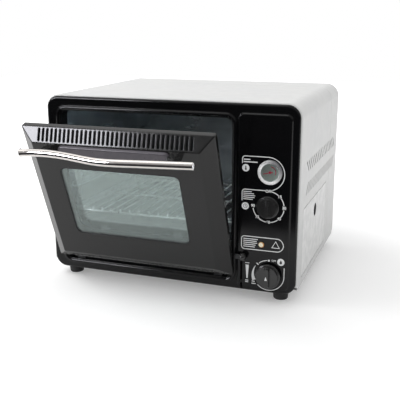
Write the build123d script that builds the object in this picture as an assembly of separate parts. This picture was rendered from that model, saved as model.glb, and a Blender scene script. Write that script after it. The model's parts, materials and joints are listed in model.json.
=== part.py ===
from build123d import *
from math import atan2, cos, degrees, hypot, radians, sin, sqrt
import os

# Portable gas oven: sheet-metal cabinet, drop-down glazed door, and a bay on the right for a gas
# cartridge. X runs to the right, Y to the back and Z up. Every piece is built with Y = 0 at the face
# of the front frame and Z = 0 at its lower edge, and moved to the row's origin when it is written.

# ---- cabinet -------------------------------------------------------------------------------------
DEPTH = 355.0  # face of the front frame to the rear edge of the wrap
SHEET = 1.0  # steel sheet of the cabinet
FIT = 0.2  # clearance of a sheet edge in its seat
SIDE_MARGIN = 26.5  # front frame to the left of the oven's mouth
TOP_MARGIN = 24.5  # and above it
FRAME_CORNER_R = 22.0
FRAME_EDGE_R = 4.0
FRAME_LIP = 10.0  # return lip round the front frame
WRAP_PROUD = 2.5  # the wrap stands this far outside the front frame
WRAP_BOTTOM = 13.3  # lower edge of the wrap
WRAP_EDGE_R = 2.2
SEAM_BACK = 83.0  # seam round the wrap, from its rear edge
SEAM_WIDTH = 1.2
SEAM_DEPTH = 0.4
HEM_DEPTH = 8.0
PAN_Z = 6.0  # underside of the bottom pan
PAN_WALL = 14.0
FOOT_HEIGHT = 16.0  # frame's lower edge above the ground
FOOT_R = 14.5
FOOT_INSET_X = 30.0
FOOT_INSET_Y = 25.0
FOOT_RECESS = 6.0
FOOT_RECESS_R = 5.0
FOOT_TAPER = 2.0
SCREW_HEAD_R = 3.6
SCREW_HEAD_HIGH = 2.0
SCREW_EDGE = 9.0  # screws of the back panel from its edges

# ---- side louvres --------------------------------------------------------------------------------
LOUVRE_WIDTH = 3.6
LOUVRE_RISE = 20.0
LOUVRE_FIRST_Y = 61.0
LOUVRE_MARGIN = 31.0  # plain sheet behind the last one, at least
LOUVRE_PITCH = 15.9
LOUVRE_ROW_Z = (211.0, 172.0)  # upper row leans back going down, lower row going up

# ---- oven mouth and liner ------------------------------------------------------------------------
MOUTH_WIDTH = 321.0
MOUTH_HEIGHT = 276.5
MOUTH_Z = 19.0
MOUTH_R = 11.0
MOUTH_LIP = 24.0
BEAD_R = 3.8  # rolled bead round the mouth
BEAD_PROUD = 2.4
LINER_SLIP = 0.1  # the liner slips over the lip of the mouth
FLUE_GAP = 33.0  # liner's back to the rear edge of the wrap
EXHAUST_DROP = 20.6  # middle of the exhaust below the oven's ceiling
EXHAUST_HEIGHT = 24.0
EXHAUST_WIDTH = 150.0
VENT_LENGTH = 44.0  # air slots in the floors
VENT_PITCH = 14.0
FLUE_HOOD = 14.0
HOOD_LAP = 6.0  # the hood stands this far outside the flue

# ---- control pad on the front frame --------------------------------------------------------------
PAD_WIDTH = 91.0
PAD_GAP = 10.5  # from the mouth to the pad
PAD_EDGE = 11.0  # from the pad to the frame's right edge
PAD_LOW = 6.0
PAD_DROP = 15.0  # frame's upper edge above the pad
PAD_R = 10.0
PAD_PROUD = 2.5
PAD_SLOPE = 40.0
THERMOMETER_SPOT = (10.0, 210.4)  # right of the pad's middle line, above the frame's lower edge
TIMER_SPOT = (7.5, 151.5)
SIGHT_SPOT = (-2.5, 85.6)
GAS_SPOT = (11.0, 32.5)

# ---- door ----------------------------------------------------------------------------------------
DOOR_SIDE_LAP = 7.5  # the door covers the mouth by this much at each side
DOOR_TOP_LAP = 7.3
DOOR_RAISE = 10.5  # lower edge of the closed door above the mouth's lower edge
DOOR_Y = -14.0  # edge plane of the closed door, in front of the frame
DOOR_RIM = 9.0  # side walls behind the edge plane
BEVEL_DEPTH = 15.8
BEVEL_INSET = 22.4
DOOR_SHEET = 1.0
DOOR_EDGE_R = 3.0  # outside radius of its bends
DOOR_OPEN = 21.0  # rest position, from closed
DOOR_LIMIT = 85.0  # fully open
HINGE_UP = 6.0  # hinge axis above the door's lower edge
HINGE_IN = 3.0  # and behind its edge plane
HINGE_PIN_R = 2.5
HINGE_EAR_IN = 4.2  # inner face of the door's ears from the middle of the hinge
HINGE_EAR_OUT = 6.2
HINGE_BRACKET = 5.0  # width of the cabinet's bracket
HINGE_PLATE = 22.0  # height of the ears above the hinge axis
HINGE_INSET = 28.0  # hinge from the door's side
RUNNING = 0.06  # radial clearance of a pin or shaft
WINDOW_SIDE = 61.15  # door's side to the window
WINDOW_LOW = 70.0  # above the door's lower edge
WINDOW_DROP = 17.0  # below the grip plate
WINDOW_R = 12.0
GLASS = 4.0
INNER_GLASS = 3.0
GLASS_LAP = 9.0
CLIP_REACH = 6.0
CLIP_X = 70.0  # clips from the middle of the window
CLIP_WIDTH = 14.0
PLATE_HEIGHT = 26.0  # grip plate under the handle
PLATE_DROP = 1.9  # below the upper edge of the door's face
PLATE_PROUD = 5.0
PLATE_R = 9.0
PLATE_EDGE_R = 3.5
DOOR_SLOT_PITCH = 7.82
DOOR_SLOT_WIDTH = 4.3
DOOR_SLOT_MARGIN = 9.0
TOP_SLOT_LENGTH = 22.0
LOW_SLOT_LENGTH = 9.0
GASKET_WIDTH = 6.0
GASKET_INSET = 1.5
GASKET_DROP = 18.0  # the seal stops this far above the lower corners

# ---- handle --------------------------------------------------------------------------------------
HANDLE_R = 6.2
HANDLE_RAISE = 6.5  # above the foot of its stand-offs
HANDLE_INSET = 19.7  # end of the tube from the door's side
# place along the tube, and its middle in front of the door's edge plane
HANDLE_LEFT = ((-1.0, 49.0), (-0.7, 44.2), (-0.34, 50.5))
HANDLE_RIGHT = ((-0.05, 57.6), (0.34, 56.2), (0.7, 53.0), (1.0, 50.5))
BRACKET_INSET = 59.0  # stand-off from the door's side
BRACKET_WIDTH = 12.0
BRACKET_FOOT = 8.0  # foot of the stand-off below its middle
BRACKET_REACH = 31.0  # out to its tip, inside the tube
BRACKET_NOSE = 5.0  # half height of its tip
BRACKET_SCREW_PITCH = 7.0
BRACKET_SCREW_R = 1.5
BRACKET_DROP = 6.9  # foot of the stand-off below the upper edge of the door's face
BRACKET_CLEAR = 11.0  # middle of the stand-off to the grip plate

# ---- knobs ---------------------------------------------------------------------------------------
GAS_KNOB_R = 21.5
GAS_KNOB_DEPTH = 15.0
GAS_PUSH = 4.0
TIMER_KNOB_R = 19.0
TIMER_KNOB_DEPTH = 15.0
TIMER_BODY = 48.0
TIMER_BACK = 32.0
STEM_R = 3.0
KNOB_SKIRT = 4.0
KNOB_BORE = 8.0  # depth of the stem in the knob
THERMOMETER_R = 20.3
THERMOMETER_CASE_R = 16.3
DIAL_R = 14.8
SIGHT_R = 5.0

# ---- gas bay -------------------------------------------------------------------------------------
BAY_GAP = 7.9  # liner to the bay's wall
CARTRIDGE_R = 34.0
CARTRIDGE_INSET = 46.0  # its axis from the frame's right edge
CARTRIDGE_Z = 80.0
CARTRIDGE_FRONT = 58.0
CARTRIDGE_LENGTH = 190.0
LEVER_GAP = 7.9  # bay's wall to the lever
LEVER_SHEET = 2.0
LEVER_PIVOT = (62.0, 35.0)
LEVER_REACH = 73.0
LEVER_RISE = 28.0
CRANK = 12.0
LEVER_SLOT = 3.4  # width of its slot in the pad
LEVER_PIN_R = 2.0
LEVER_BALL_R = 6.8
LEVER_TAB = 7.0  # finger tab beside the knob
SIDE_DOOR_Y = (35.0, 250.0)
SIDE_DOOR_Z = (23.0, 142.0)
SIDE_DOOR_GAP = 1.2
SIDE_DOOR_LIMIT = 95.0  # fully open
FINGER_HOLE_R = 12.0
FINGER_HOLE_DROP = 27.3
SIDE_HINGE_UP = 6.0  # hinge of the cartridge door above its lower edge
SIDE_HINGE_IN = 4.5  # and inside its face
SIDE_PIN_R = 1.5
SIDE_FOLD = 5.0  # depth of its folded edges
SIDE_TAB_R = 3.2
SIDE_EYE_R = 3.4
SIDE_EYE = (2.5, 8.5)  # eyes beyond the ends of the door
PROBE_R = 2.0
PROBE_Y = 200.0
PROBE_DROP = 34.6  # below the oven's ceiling
PROBE_REACH = 9.0  # into the oven
VALVE_BACK = 46.0
VALVE_FRONT = 20.0
BONNET_BACK = 24.0
BONNET_R = 6.2
PUSHER_BAR_Z = (41.0, 52.5)
PUSHER_SHEET = 2.0
PUSHER_SLIP = 0.3  # its clearance in the guides
REGULATOR_R = 18.0

PIPE_Y = 92.0
PIPE_Z = 32.0
PIPE_R = 4.0
BURNER_R = 8.0
BURNER_MARGIN = 72.0  # rear run of the burner in front of the liner's back

# ---- racks ---------------------------------------------------------------------------------------
SHELF_LEVELS = (86.0, 103.5, 150.0, 200.0)
SHELF_REACH = 10.0
RACK_FRONT = 42.0
RACK_MARGIN = 16.0  # rack to the liner's back
RACK_ROD_R = 2.0
RACK_WIRE_R = 1.4
RACK_PITCH = 19.0
RAIL_SHEET = 1.2
TRAY_DEPTH = 20.0
TRAY_SLOPE = 6.0
TRAY_RIM = 10.0  # at the front and the back

# ---- worked out ----------------------------------------------------------------------------------
WIDTH = SIDE_MARGIN + MOUTH_WIDTH + PAD_GAP + PAD_WIDTH + PAD_EDGE  # front frame
HEIGHT = MOUTH_Z + MOUTH_HEIGHT + TOP_MARGIN
OVEN_X = SIDE_MARGIN + MOUTH_WIDTH / 2 - WIDTH / 2  # middle of the mouth and of the door
MOUTH_MID_Z = MOUTH_Z + MOUTH_HEIGHT / 2
LINER_GAP = SHEET + LINER_SLIP
LINER_HALF = MOUTH_WIDTH / 2 + LINER_GAP
LINER_LEFT = OVEN_X - LINER_HALF
LINER_RIGHT = OVEN_X + LINER_HALF
LINER_DEPTH = DEPTH - FLUE_GAP
LINER_BACK = LINER_DEPTH - SHEET
FLOOR_Z = MOUTH_Z - LINER_GAP
CEILING_Z = MOUTH_Z + MOUTH_HEIGHT + LINER_GAP
EXHAUST_Z = CEILING_Z - EXHAUST_DROP
RACK_BACK = LINER_DEPTH - RACK_MARGIN
BURNER_BACK = LINER_DEPTH - BURNER_MARGIN
PAD_X = WIDTH / 2 - PAD_EDGE - PAD_WIDTH / 2
PAD_TOP = HEIGHT - PAD_DROP
PAD_BACK = SHEET - PAD_PROUD  # rear face of the control pad
GAS_KNOB_BACK = -PAD_PROUD - GAS_PUSH - 0.6
TIMER_KNOB_BACK = -PAD_PROUD - 0.8
THERMOMETER_XZ = (PAD_X + THERMOMETER_SPOT[0], THERMOMETER_SPOT[1])
TIMER_XZ = (PAD_X + TIMER_SPOT[0], TIMER_SPOT[1])
SIGHT_XZ = (PAD_X + SIGHT_SPOT[0], SIGHT_SPOT[1])
GAS_XZ = (PAD_X + GAS_SPOT[0], GAS_SPOT[1])
CARTRIDGE_XZ = (WIDTH / 2 - CARTRIDGE_INSET, CARTRIDGE_Z)
PAN_TOP = PAN_Z + SHEET
FOOT_X = WIDTH / 2 - FOOT_INSET_X
WRAP_HALF = WIDTH / 2 + WRAP_PROUD
WRAP_TOP = HEIGHT + WRAP_PROUD
WRAP_INSIDE = WRAP_HALF - SHEET
LOUVRE_COUNT = int((DEPTH - LOUVRE_MARGIN - LOUVRE_FIRST_Y) / LOUVRE_PITCH) + 1
DOOR_WIDTH = MOUTH_WIDTH + 2 * DOOR_SIDE_LAP
DOOR_HEIGHT = MOUTH_HEIGHT + DOOR_TOP_LAP - DOOR_RAISE
DOOR_Z = MOUTH_Z + DOOR_RAISE
DOOR_BACK = DOOR_Y + DOOR_RIM
DOOR_FACE = DOOR_Y - BEVEL_DEPTH
DOOR_MID_Z = DOOR_Z + DOOR_HEIGHT / 2
DOOR_SLOTS = int((DOOR_WIDTH - 2 * BEVEL_INSET - 2 * DOOR_SLOT_MARGIN) / DOOR_SLOT_PITCH) + 1
HINGE_Y = DOOR_Y + HINGE_IN
HINGE_Z = DOOR_Z + HINGE_UP
HINGE_X = DOOR_WIDTH / 2 - HINGE_INSET  # each side of the door's middle
FACE_TOP = DOOR_HEIGHT - BEVEL_INSET  # upper edge of the door's face above its lower edge
PLATE_LOW = FACE_TOP - PLATE_DROP - PLATE_HEIGHT
WINDOW_WIDTH = DOOR_WIDTH - 2 * WINDOW_SIDE
WINDOW_HEIGHT = PLATE_LOW - WINDOW_DROP - WINDOW_LOW
WINDOW_MID_Z = DOOR_Z + WINDOW_LOW + WINDOW_HEIGHT / 2
BRACKET_X = DOOR_WIDTH / 2 - BRACKET_INSET
BRACKET_U = FACE_TOP - BRACKET_DROP
PLATE_WIDTH = 2 * (BRACKET_X - BRACKET_CLEAR)
HANDLE_U = BRACKET_U + HANDLE_RAISE
HANDLE_ENDS = DOOR_WIDTH / 2 - HANDLE_INSET
INNER_PANEL_Y = DOOR_BACK - 2.5
LEVER_ANGLE = degrees(atan2(LEVER_RISE, LEVER_REACH))  # above and below the level
PUSH_TRAVEL = 2 * CRANK * sin(radians(LEVER_ANGLE))
BAY_WALL_X = LINER_RIGHT + BAY_GAP
LEVER_X = BAY_WALL_X + SHEET + LEVER_GAP
PUSHER_X = LEVER_X + LEVER_SHEET + 0.4
PUSHER_PLATE_Y = CARTRIDGE_FRONT + CARTRIDGE_LENGTH + 5
PROBE_YZ = (PROBE_Y, CEILING_Z - PROBE_DROP)
SIDE_HINGE = (WRAP_HALF - SIDE_HINGE_IN, SIDE_DOOR_Z[0] + SIDE_HINGE_UP)


def along_x(sketch, x0, x1):
    """Prism of a (y, z) sketch between two widths."""
    return extrude(Plane.YZ.offset(x0) * sketch, amount=x1 - x0)


def along_y(sketch, y0, y1):
    """Prism of an (x, z) sketch between two depths."""
    return extrude(Plane.XZ.offset(-y1) * sketch, amount=y1 - y0)


def along_z(sketch, z0, z1):
    """Prism of an (x, y) sketch between two heights."""
    return extrude(Plane.XY.offset(z0) * sketch, amount=z1 - z0)


def block(x, y, z):
    """Box from three (low, high) pairs."""
    size = [high - low for low, high in (x, y, z)]
    middle = [(high + low) / 2 for low, high in (x, y, z)]
    return Pos(*middle) * Box(*size)


def disc_y(xz, radius, y0, y1):
    """Cylinder along Y round (x, z)."""
    return along_y(Pos(*xz) * Circle(radius), y0, y1)


def disc_x(yz, radius, x0, x1):
    """Cylinder along X round (y, z)."""
    return along_x(Pos(*yz) * Circle(radius), x0, x1)


def disc_z(xy, radius, z0, z1):
    """Cylinder along Z round (x, y)."""
    return along_z(Pos(*xy) * Circle(radius), z0, z1)


def cone_y(xz, near, far):
    """Cone along Y round (x, z), from one (radius, y) to another."""
    return loft([Plane.XZ.offset(-y) * Pos(*xz) * Circle(radius) for radius, y in (near, far)])


def rounded(x, z, width, height, radius):
    return Pos(x, z) * RectangleRounded(width, height, radius)


def tube(points, bend, radius):
    """Round bar along a polyline with arcs at its corners."""
    path = FilletPolyline(*points, radius=bend) if len(points) > 2 else Line(*points)
    return sweep((path ^ 0) * Circle(radius), path=path)


def row_of(sketch, count, pitch, middle, z):
    """Copies of a small sketch side by side."""
    start = middle - pitch * (count - 1) / 2
    return Sketch() + [Pos(start + i * pitch, z) * sketch for i in range(count)]


def front_edges(shape):
    """Edges round the face of a piece that lies furthest forward."""
    return shape.faces().sort_by(Axis.Y)[0].edges()


def back_edges(shape):
    return shape.faces().sort_by(Axis.Y)[-1].edges()


def joined(shapes):
    """One shape from several that touch."""
    first, *others = shapes
    for shape in others:
        first += shape
    return first


def as_list(shape):
    return shape if isinstance(shape, list) else [shape]


# ---- cabinet -------------------------------------------------------------------------------------
def wrap_section(inset, bottom):
    """Arch of the wrap, with its two upper corners rounded."""
    width = 2 * (WRAP_HALF - inset)
    top = WRAP_TOP - inset
    full = RectangleRounded(width, 2 * top, FRAME_CORNER_R + WRAP_PROUD - inset)
    return full & Pos(0, (bottom + top) / 2) * Rectangle(width, top - bottom)


def frame_outline(inset=0.0):
    return rounded(0, HEIGHT / 2, WIDTH - 2 * inset, HEIGHT - 2 * inset, FRAME_CORNER_R - inset)


def louvres():
    """Two rows of slanted slots, as a (y, z) sketch."""
    length = LOUVRE_RISE * sqrt(2)
    slots = Sketch()
    for z, lean in zip(LOUVRE_ROW_Z, (-45, 45)):
        slot = Rot(0, 0, lean) * SlotOverall(length, LOUVRE_WIDTH)
        middle = LOUVRE_FIRST_Y + LOUVRE_PITCH * (LOUVRE_COUNT - 1) / 2
        slots += row_of(slot, LOUVRE_COUNT, LOUVRE_PITCH, middle, z)
    return slots


def side_door_outline(gap=0.0):
    """Opening of the cartridge door, as a (y, z) sketch."""
    (y0, y1), (z0, z1) = SIDE_DOOR_Y, SIDE_DOOR_Z
    return rounded((y0 + y1) / 2, (z0 + z1) / 2, y1 - y0 + 2 * gap, z1 - z0 + 2 * gap, 3 + gap)


def make_outer_shell():
    hem_back = FRAME_EDGE_R + HEM_DEPTH
    under = WRAP_BOTTOM - 1
    wrap = along_y(wrap_section(0, WRAP_BOTTOM), FRAME_EDGE_R, DEPTH)
    rim = front_edges(wrap).filter_by(lambda edge: edge.center().Z > WRAP_BOTTOM + 1)
    wrap = fillet(rim, WRAP_EDGE_R)
    wrap -= along_y(frame_outline(), FRAME_EDGE_R - 1, hem_back + 1)
    wrap -= along_y(wrap_section(SHEET, under), hem_back, DEPTH + 1)
    seam = wrap_section(-1, under) - wrap_section(SEAM_DEPTH, under)
    wrap -= along_y(seam, DEPTH - SEAM_BACK, DEPTH - SEAM_BACK + SEAM_WIDTH)
    wrap -= along_x(louvres(), -WRAP_HALF - 1, WRAP_HALF + 1)
    return wrap - along_x(side_door_outline(SIDE_DOOR_GAP), WRAP_INSIDE - 5, WRAP_HALF + 1)


def control_pad(inset):
    """Raised pad for the controls; a positive inset gives its hollow back."""
    height = PAD_TOP - PAD_LOW
    base = rounded(PAD_X, (PAD_TOP + PAD_LOW) / 2, PAD_WIDTH - 2 * inset, height - 2 * inset, PAD_R - inset)
    return extrude(Plane.XZ.offset(-inset) * base, amount=PAD_PROUD, taper=PAD_SLOPE)


def mouth(grow, y0, y1):
    """Prism of the oven's mouth, larger by grow all round."""
    outline = rounded(OVEN_X, MOUTH_MID_Z, MOUTH_WIDTH + 2 * grow, MOUTH_HEIGHT + 2 * grow, MOUTH_R + grow)
    return along_y(outline, y0, y1)


def bead_ring(radius):
    """Round bar along the bead's middle line."""
    grow = 2 * (SHEET + BEAD_R)
    outline = rounded(OVEN_X, MOUTH_MID_Z, MOUTH_WIDTH + grow, MOUTH_HEIGHT + grow, MOUTH_R + grow / 2)
    path = (Plane.XZ.offset(BEAD_PROUD - BEAD_R) * outline).wires()[0]
    return sweep((path ^ 0) * Circle(radius), path=path)


def make_front_frame():
    plate = along_y(frame_outline(), 0, FRAME_LIP)
    plate = fillet(front_edges(plate), FRAME_EDGE_R)
    hollow = along_y(frame_outline(SHEET), SHEET, FRAME_LIP)
    hollow = fillet(front_edges(hollow), FRAME_EDGE_R - SHEET)
    frame = plate + control_pad(0) - hollow - control_pad(SHEET)
    frame = frame + bead_ring(BEAD_R) - bead_ring(BEAD_R - SHEET)
    frame -= mouth(2 * (BEAD_R + SHEET), SHEET, 2 * BEAD_R)
    frame += mouth(SHEET, 0, MOUTH_LIP)
    frame -= mouth(0, -PAD_PROUD, MOUTH_LIP)
    through = (-PAD_PROUD - 1, SHEET + 1)
    stem_hole = STEM_R + 1
    holes = disc_y(THERMOMETER_XZ, THERMOMETER_CASE_R + FIT, *through)
    holes += disc_y(TIMER_XZ, stem_hole, *through)
    holes += disc_y(SIGHT_XZ, SIGHT_R, *through)
    holes += disc_y(GAS_XZ, stem_hole, *through)
    return frame - holes - lever_slot(through)


def lever_slot(depth):
    half, reach = LEVER_SLOT / 2, LEVER_RISE + 4
    x, z = LEVER_X + LEVER_SHEET / 2, LEVER_PIVOT[1]
    return block((x - half, x + half), depth, (z - reach, z + reach))


def make_back_panel():
    panel = along_y(wrap_section(SHEET + FIT, PAN_TOP), DEPTH - SHEET, DEPTH)
    slot = SlotOverall(30, LOUVRE_WIDTH, rotation=90)
    vents = row_of(slot, 12, 9, CARTRIDGE_XZ[0], 190) + row_of(slot, 20, 12, OVEN_X, 60)
    panel -= along_y(vents, DEPTH - 5, DEPTH + 1)
    return panel - flue_duct_core(DEPTH - 5, DEPTH + 1)


def flue_duct_core(y0, y1):
    """Inside of the flue between two depths."""
    half_x, half_z = EXHAUST_WIDTH / 2, EXHAUST_HEIGHT / 2
    return block((OVEN_X - half_x, OVEN_X + half_x), (y0, y1), (EXHAUST_Z - half_z, EXHAUST_Z + half_z))


def make_flue_duct():
    outer = offset_block(flue_duct_core(LINER_DEPTH, DEPTH - SHEET), SHEET)
    return outer - flue_duct_core(LINER_DEPTH - 1, DEPTH)


def offset_block(shape, grow):
    """The block grown in X and Z only."""
    low, high = shape.bounding_box().min, shape.bounding_box().max
    return block((low.X - grow, high.X + grow), (low.Y, high.Y), (low.Z - grow, high.Z + grow))


def make_flue_cover():
    """Hood over the flue outlet, open downwards."""
    core = offset_block(flue_duct_core(DEPTH, DEPTH + FLUE_HOOD), HOOD_LAP)
    low, high = core.bounding_box().min, core.bounding_box().max
    skirt, slope = 4.0, 6.0  # below the core, and fall of the roof to the back

    def section(back, foot, roof_back, roof_front):
        corners = [(low.Y, foot), (back, foot), (back, roof_back), (low.Y, roof_front)]
        return make_face(Polyline(*corners, close=True))

    hood = along_x(section(high.Y, low.Z - skirt, high.Z - slope, high.Z), low.X, high.X)
    hollow = section(high.Y - SHEET, low.Z - skirt - 1, high.Z - slope - SHEET, high.Z - 1.4 * SHEET)
    return hood - along_x(hollow, low.X + SHEET, high.X - SHEET)


def make_bottom_pan():
    half = WRAP_INSIDE - FIT
    y0, y1 = FRAME_EDGE_R + HEM_DEPTH + FIT, DEPTH - SHEET - FIT
    pan = block((-half, half), (y0, y1), (PAN_Z, PAN_Z + PAN_WALL))
    pan -= block((-half + SHEET, half - SHEET), (y0 - 1, y1 - SHEET), (PAN_TOP, PAN_Z + PAN_WALL + 1))
    slot = SlotOverall(VENT_LENGTH, LOUVRE_WIDTH, rotation=90)
    slots = Sketch() + [row_of(slot, 10, VENT_PITCH, OVEN_X, y) for y in (150, 230)]
    return pan - along_z(slots, PAN_Z - 1, PAN_TOP + 1)


def feet_places():
    return [(x, y) for x in (-FOOT_X, FOOT_X) for y in (FOOT_INSET_Y, DEPTH - FOOT_INSET_Y)]


def make_feet():
    standing = (Align.CENTER, Align.CENTER, Align.MIN)
    foot = Cone(FOOT_R - FOOT_TAPER, FOOT_R, PAN_Z + FOOT_HEIGHT, align=standing)
    foot = fillet(foot.faces().sort_by(Axis.Z)[0].edges(), 2)
    foot -= Cylinder(FOOT_RECESS_R, FOOT_RECESS, align=standing)
    return [Pos(x, y, -FOOT_HEIGHT) * foot for x, y in feet_places()]


def make_cabinet_screws():
    """Pan-head screws round the back panel and up into the feet."""
    head = disc_y((0, 0), SCREW_HEAD_R, 0, SCREW_HEAD_HIGH)
    head = fillet(back_edges(head), 0.6 * SCREW_HEAD_HIGH)
    edge_x = WRAP_INSIDE - SCREW_EDGE
    places = [(x, z) for x in (-edge_x, edge_x) for z in (40, HEIGHT / 2, HEIGHT - 40)]
    places += [(x, WRAP_TOP - SCREW_EDGE) for x in (-150, 0, 150)]
    screws = [Pos(x, DEPTH, z) * head for x, z in places]
    return screws + [Pos(x, y, FOOT_RECESS - FOOT_HEIGHT) * Rot(-90, 0, 0) * head for x, y in feet_places()]


# ---- oven cavity ---------------------------------------------------------------------------------
def make_oven_liner():
    y0 = MOUTH_LIP - 14
    liner = mouth(LINER_GAP + SHEET, y0, LINER_DEPTH) - mouth(LINER_GAP, y0 - 1, LINER_BACK)
    vents = row_of(SlotOverall(20, LOUVRE_WIDTH, rotation=90), 16, 9, OVEN_X, EXHAUST_Z)
    liner -= along_y(vents, LINER_BACK - 2, LINER_DEPTH + 1)
    liner -= disc_x((PIPE_Y, PIPE_Z), PIPE_R + 1, LINER_RIGHT - 1, LINER_RIGHT + 3)
    liner -= disc_x(PROBE_YZ, PROBE_R + 0.5, LINER_RIGHT - 1, LINER_RIGHT + 3)
    slot = SlotOverall(VENT_LENGTH, LOUVRE_WIDTH, rotation=90)
    air = Sketch() + [row_of(slot, 12, VENT_PITCH, OVEN_X, y) for y in (130, 210)]
    return liner - along_z(air, FLOOR_Z - 3, FLOOR_Z + 1)


def make_rack_rail(side):
    """Ladder of ledges on one wall: side is -1 for the left and 1 for the right."""
    wall = LINER_LEFT if side < 0 else LINER_RIGHT
    inner = wall - side * SHELF_REACH
    skin = wall - side * RAIL_SHEET
    y0, y1 = RACK_FRONT - 4, RACK_BACK + 4
    pieces = []
    for level in SHELF_LEVELS:
        pieces.append(block(sorted((wall, inner)), (y0, y1), (level - RAIL_SHEET, level)))
        pieces.append(block(sorted((wall, skin)), (y0, y1), (level, level + 8)))
    for y in (y0 + 14, y1 - 26):
        pieces.append(block(sorted((wall, skin)), (y, y + 12), (SHELF_LEVELS[0] - 8, SHELF_LEVELS[-1] + 16)))
    return joined(pieces)


def make_rail_screws():
    high = 1.6
    head = disc_x((0, 0), 3.2, 0, high)
    screws = []
    for y in (RACK_FRONT + 16, RACK_BACK - 16):
        for z in (SHELF_LEVELS[1] + 22, SHELF_LEVELS[-1] + 12):
            screws.append(Pos(LINER_LEFT + RAIL_SHEET, y, z) * head)
            screws.append(Pos(LINER_RIGHT - RAIL_SHEET - high, y, z) * head)
    return screws


def make_wire_rack():
    z = SHELF_LEVELS[1] + RACK_ROD_R
    left, right = LINER_LEFT + 4.5, LINER_RIGHT - 4.5
    middle = (RACK_FRONT + RACK_BACK) / 2
    outline = rounded((left + right) / 2, middle, right - left, RACK_BACK - RACK_FRONT, 4 * RACK_ROD_R)
    path = (Plane.XY.offset(z) * outline).wires()[0]
    rack = sweep((path ^ 0) * Circle(RACK_ROD_R), path=path)
    top = z + RACK_ROD_R + RACK_WIRE_R * 0.3
    count = int((right - left) / RACK_PITCH)
    start = (left + right) / 2 - RACK_PITCH * (count - 1) / 2
    for i in range(count):
        x = start + i * RACK_PITCH
        rack += tube([(x, RACK_FRONT - 1.2, top), (x, RACK_BACK + 1.2, top)], 0, RACK_WIRE_R)
    return rack + tube([(left + 0.5, middle, z), (right - 0.5, middle, z)], 0, RACK_ROD_R - 0.1)


def make_baking_tray():
    """Shallow pressed pan that hangs by its rim on the lowest ledges."""
    sheet = 1.2
    rim_z = SHELF_LEVELS[0]
    middle = (RACK_FRONT + RACK_BACK) / 2
    length = RACK_BACK - RACK_FRONT
    half_x = LINER_HALF - 3
    body_half = LINER_HALF - SHELF_REACH - 1.5
    body_length = length - 2 * TRAY_RIM

    def layer(z, inset, radius):
        size = (2 * (body_half - inset), body_length - 2 * inset, radius)
        return Plane.XY.offset(z) * rounded(OVEN_X, middle, *size)

    def pan(inset, z_low):
        return loft([layer(z_low, inset + TRAY_SLOPE, 10), layer(rim_z, inset, 14)])

    rim = along_z(rounded(OVEN_X, middle, 2 * half_x, length, 16), rim_z, rim_z + sheet)
    opening = rounded(OVEN_X, middle, 2 * (body_half - sheet), body_length - 2 * sheet, 13)
    rim -= along_z(opening, rim_z - 1, rim_z + 2)
    return rim + (pan(0, rim_z - TRAY_DEPTH) - pan(sheet, rim_z - TRAY_DEPTH + sheet))


def make_burner_tube():
    start = LINER_RIGHT - 6
    end = LINER_LEFT + 38
    corners = [(start, PIPE_Y), (end, PIPE_Y), (end, BURNER_BACK), (start - 20, BURNER_BACK)]
    run = tube([(x, y, PIPE_Z) for x, y in corners], 36, BURNER_R)
    mixer = disc_x((PIPE_Y, PIPE_Z), BURNER_R + 2, start - 24, start - 4)
    return run + mixer


def make_burner_supports():
    """Two folded saddles on the floor of the oven."""
    supports = []
    length = (PIPE_Y - 22, BURNER_BACK + 22)
    for x in (OVEN_X - 70, OVEN_X + 70):
        plate = block((x - 1, x + 1), length, (FLOOR_Z, PIPE_Z))
        plate += block((x - 1, x + 10), length, (FLOOR_Z, FLOOR_Z + 1.5))
        for y in (PIPE_Y, BURNER_BACK):
            plate -= disc_x((y, PIPE_Z), BURNER_R + 0.1, x - 2, x + 12)
        supports.append(plate)
    return supports


def make_burner_cover():
    """Folded plate over the burner with slots for the hot air, standing on the floor."""
    half = LINER_HALF - MOUTH_R - 2
    y0, y1, top = RACK_FRONT + 6, LINER_DEPTH - 26, PIPE_Z + 18

    def section(inset, foot):
        bend = 8 - inset / 2
        side, roof = half - inset, top - inset
        right = [(side, foot), (side, roof - bend), (side - bend, roof)]
        left = [(-x, z) for x, z in reversed(right)]
        return Pos(OVEN_X, 0) * make_face(Polyline(*right, *left, close=True))

    cover = along_y(section(0, FLOOR_Z), y0, y1) - along_y(section(1.2, FLOOR_Z - 1), y0 - 1, y1 + 1)
    right = OVEN_X + half
    notch = block((right - 3, right + 1), (PIPE_Y - 14, PIPE_Y + 14), (FLOOR_Z - 1, PIPE_Z + 12))
    middle, rows = (y0 + y1) / 2, 62
    slot = SlotOverall(46, LOUVRE_WIDTH, rotation=90)
    slots = Sketch() + [row_of(slot, 16, 16, OVEN_X, y) for y in (middle - rows, middle, middle + rows)]
    return cover - notch - along_z(slots, top - 3, top + 1)


def make_electrode():
    """Spark electrode: ceramic body with its wire tip, in a bracket on the floor."""
    x, y = LINER_RIGHT - 44, PIPE_Y + 22
    half, seat, shoulder, tip = 6, FLOOR_Z + 1.5, FLOOR_Z + 18, FLOOR_Z + 24
    bracket = block((x - half, x + half), (y - half, y + half), (FLOOR_Z, seat))
    return bracket + disc_z((x, y), 3.5, seat, shoulder) + disc_z((x, y), 0.9, shoulder, tip)


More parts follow.
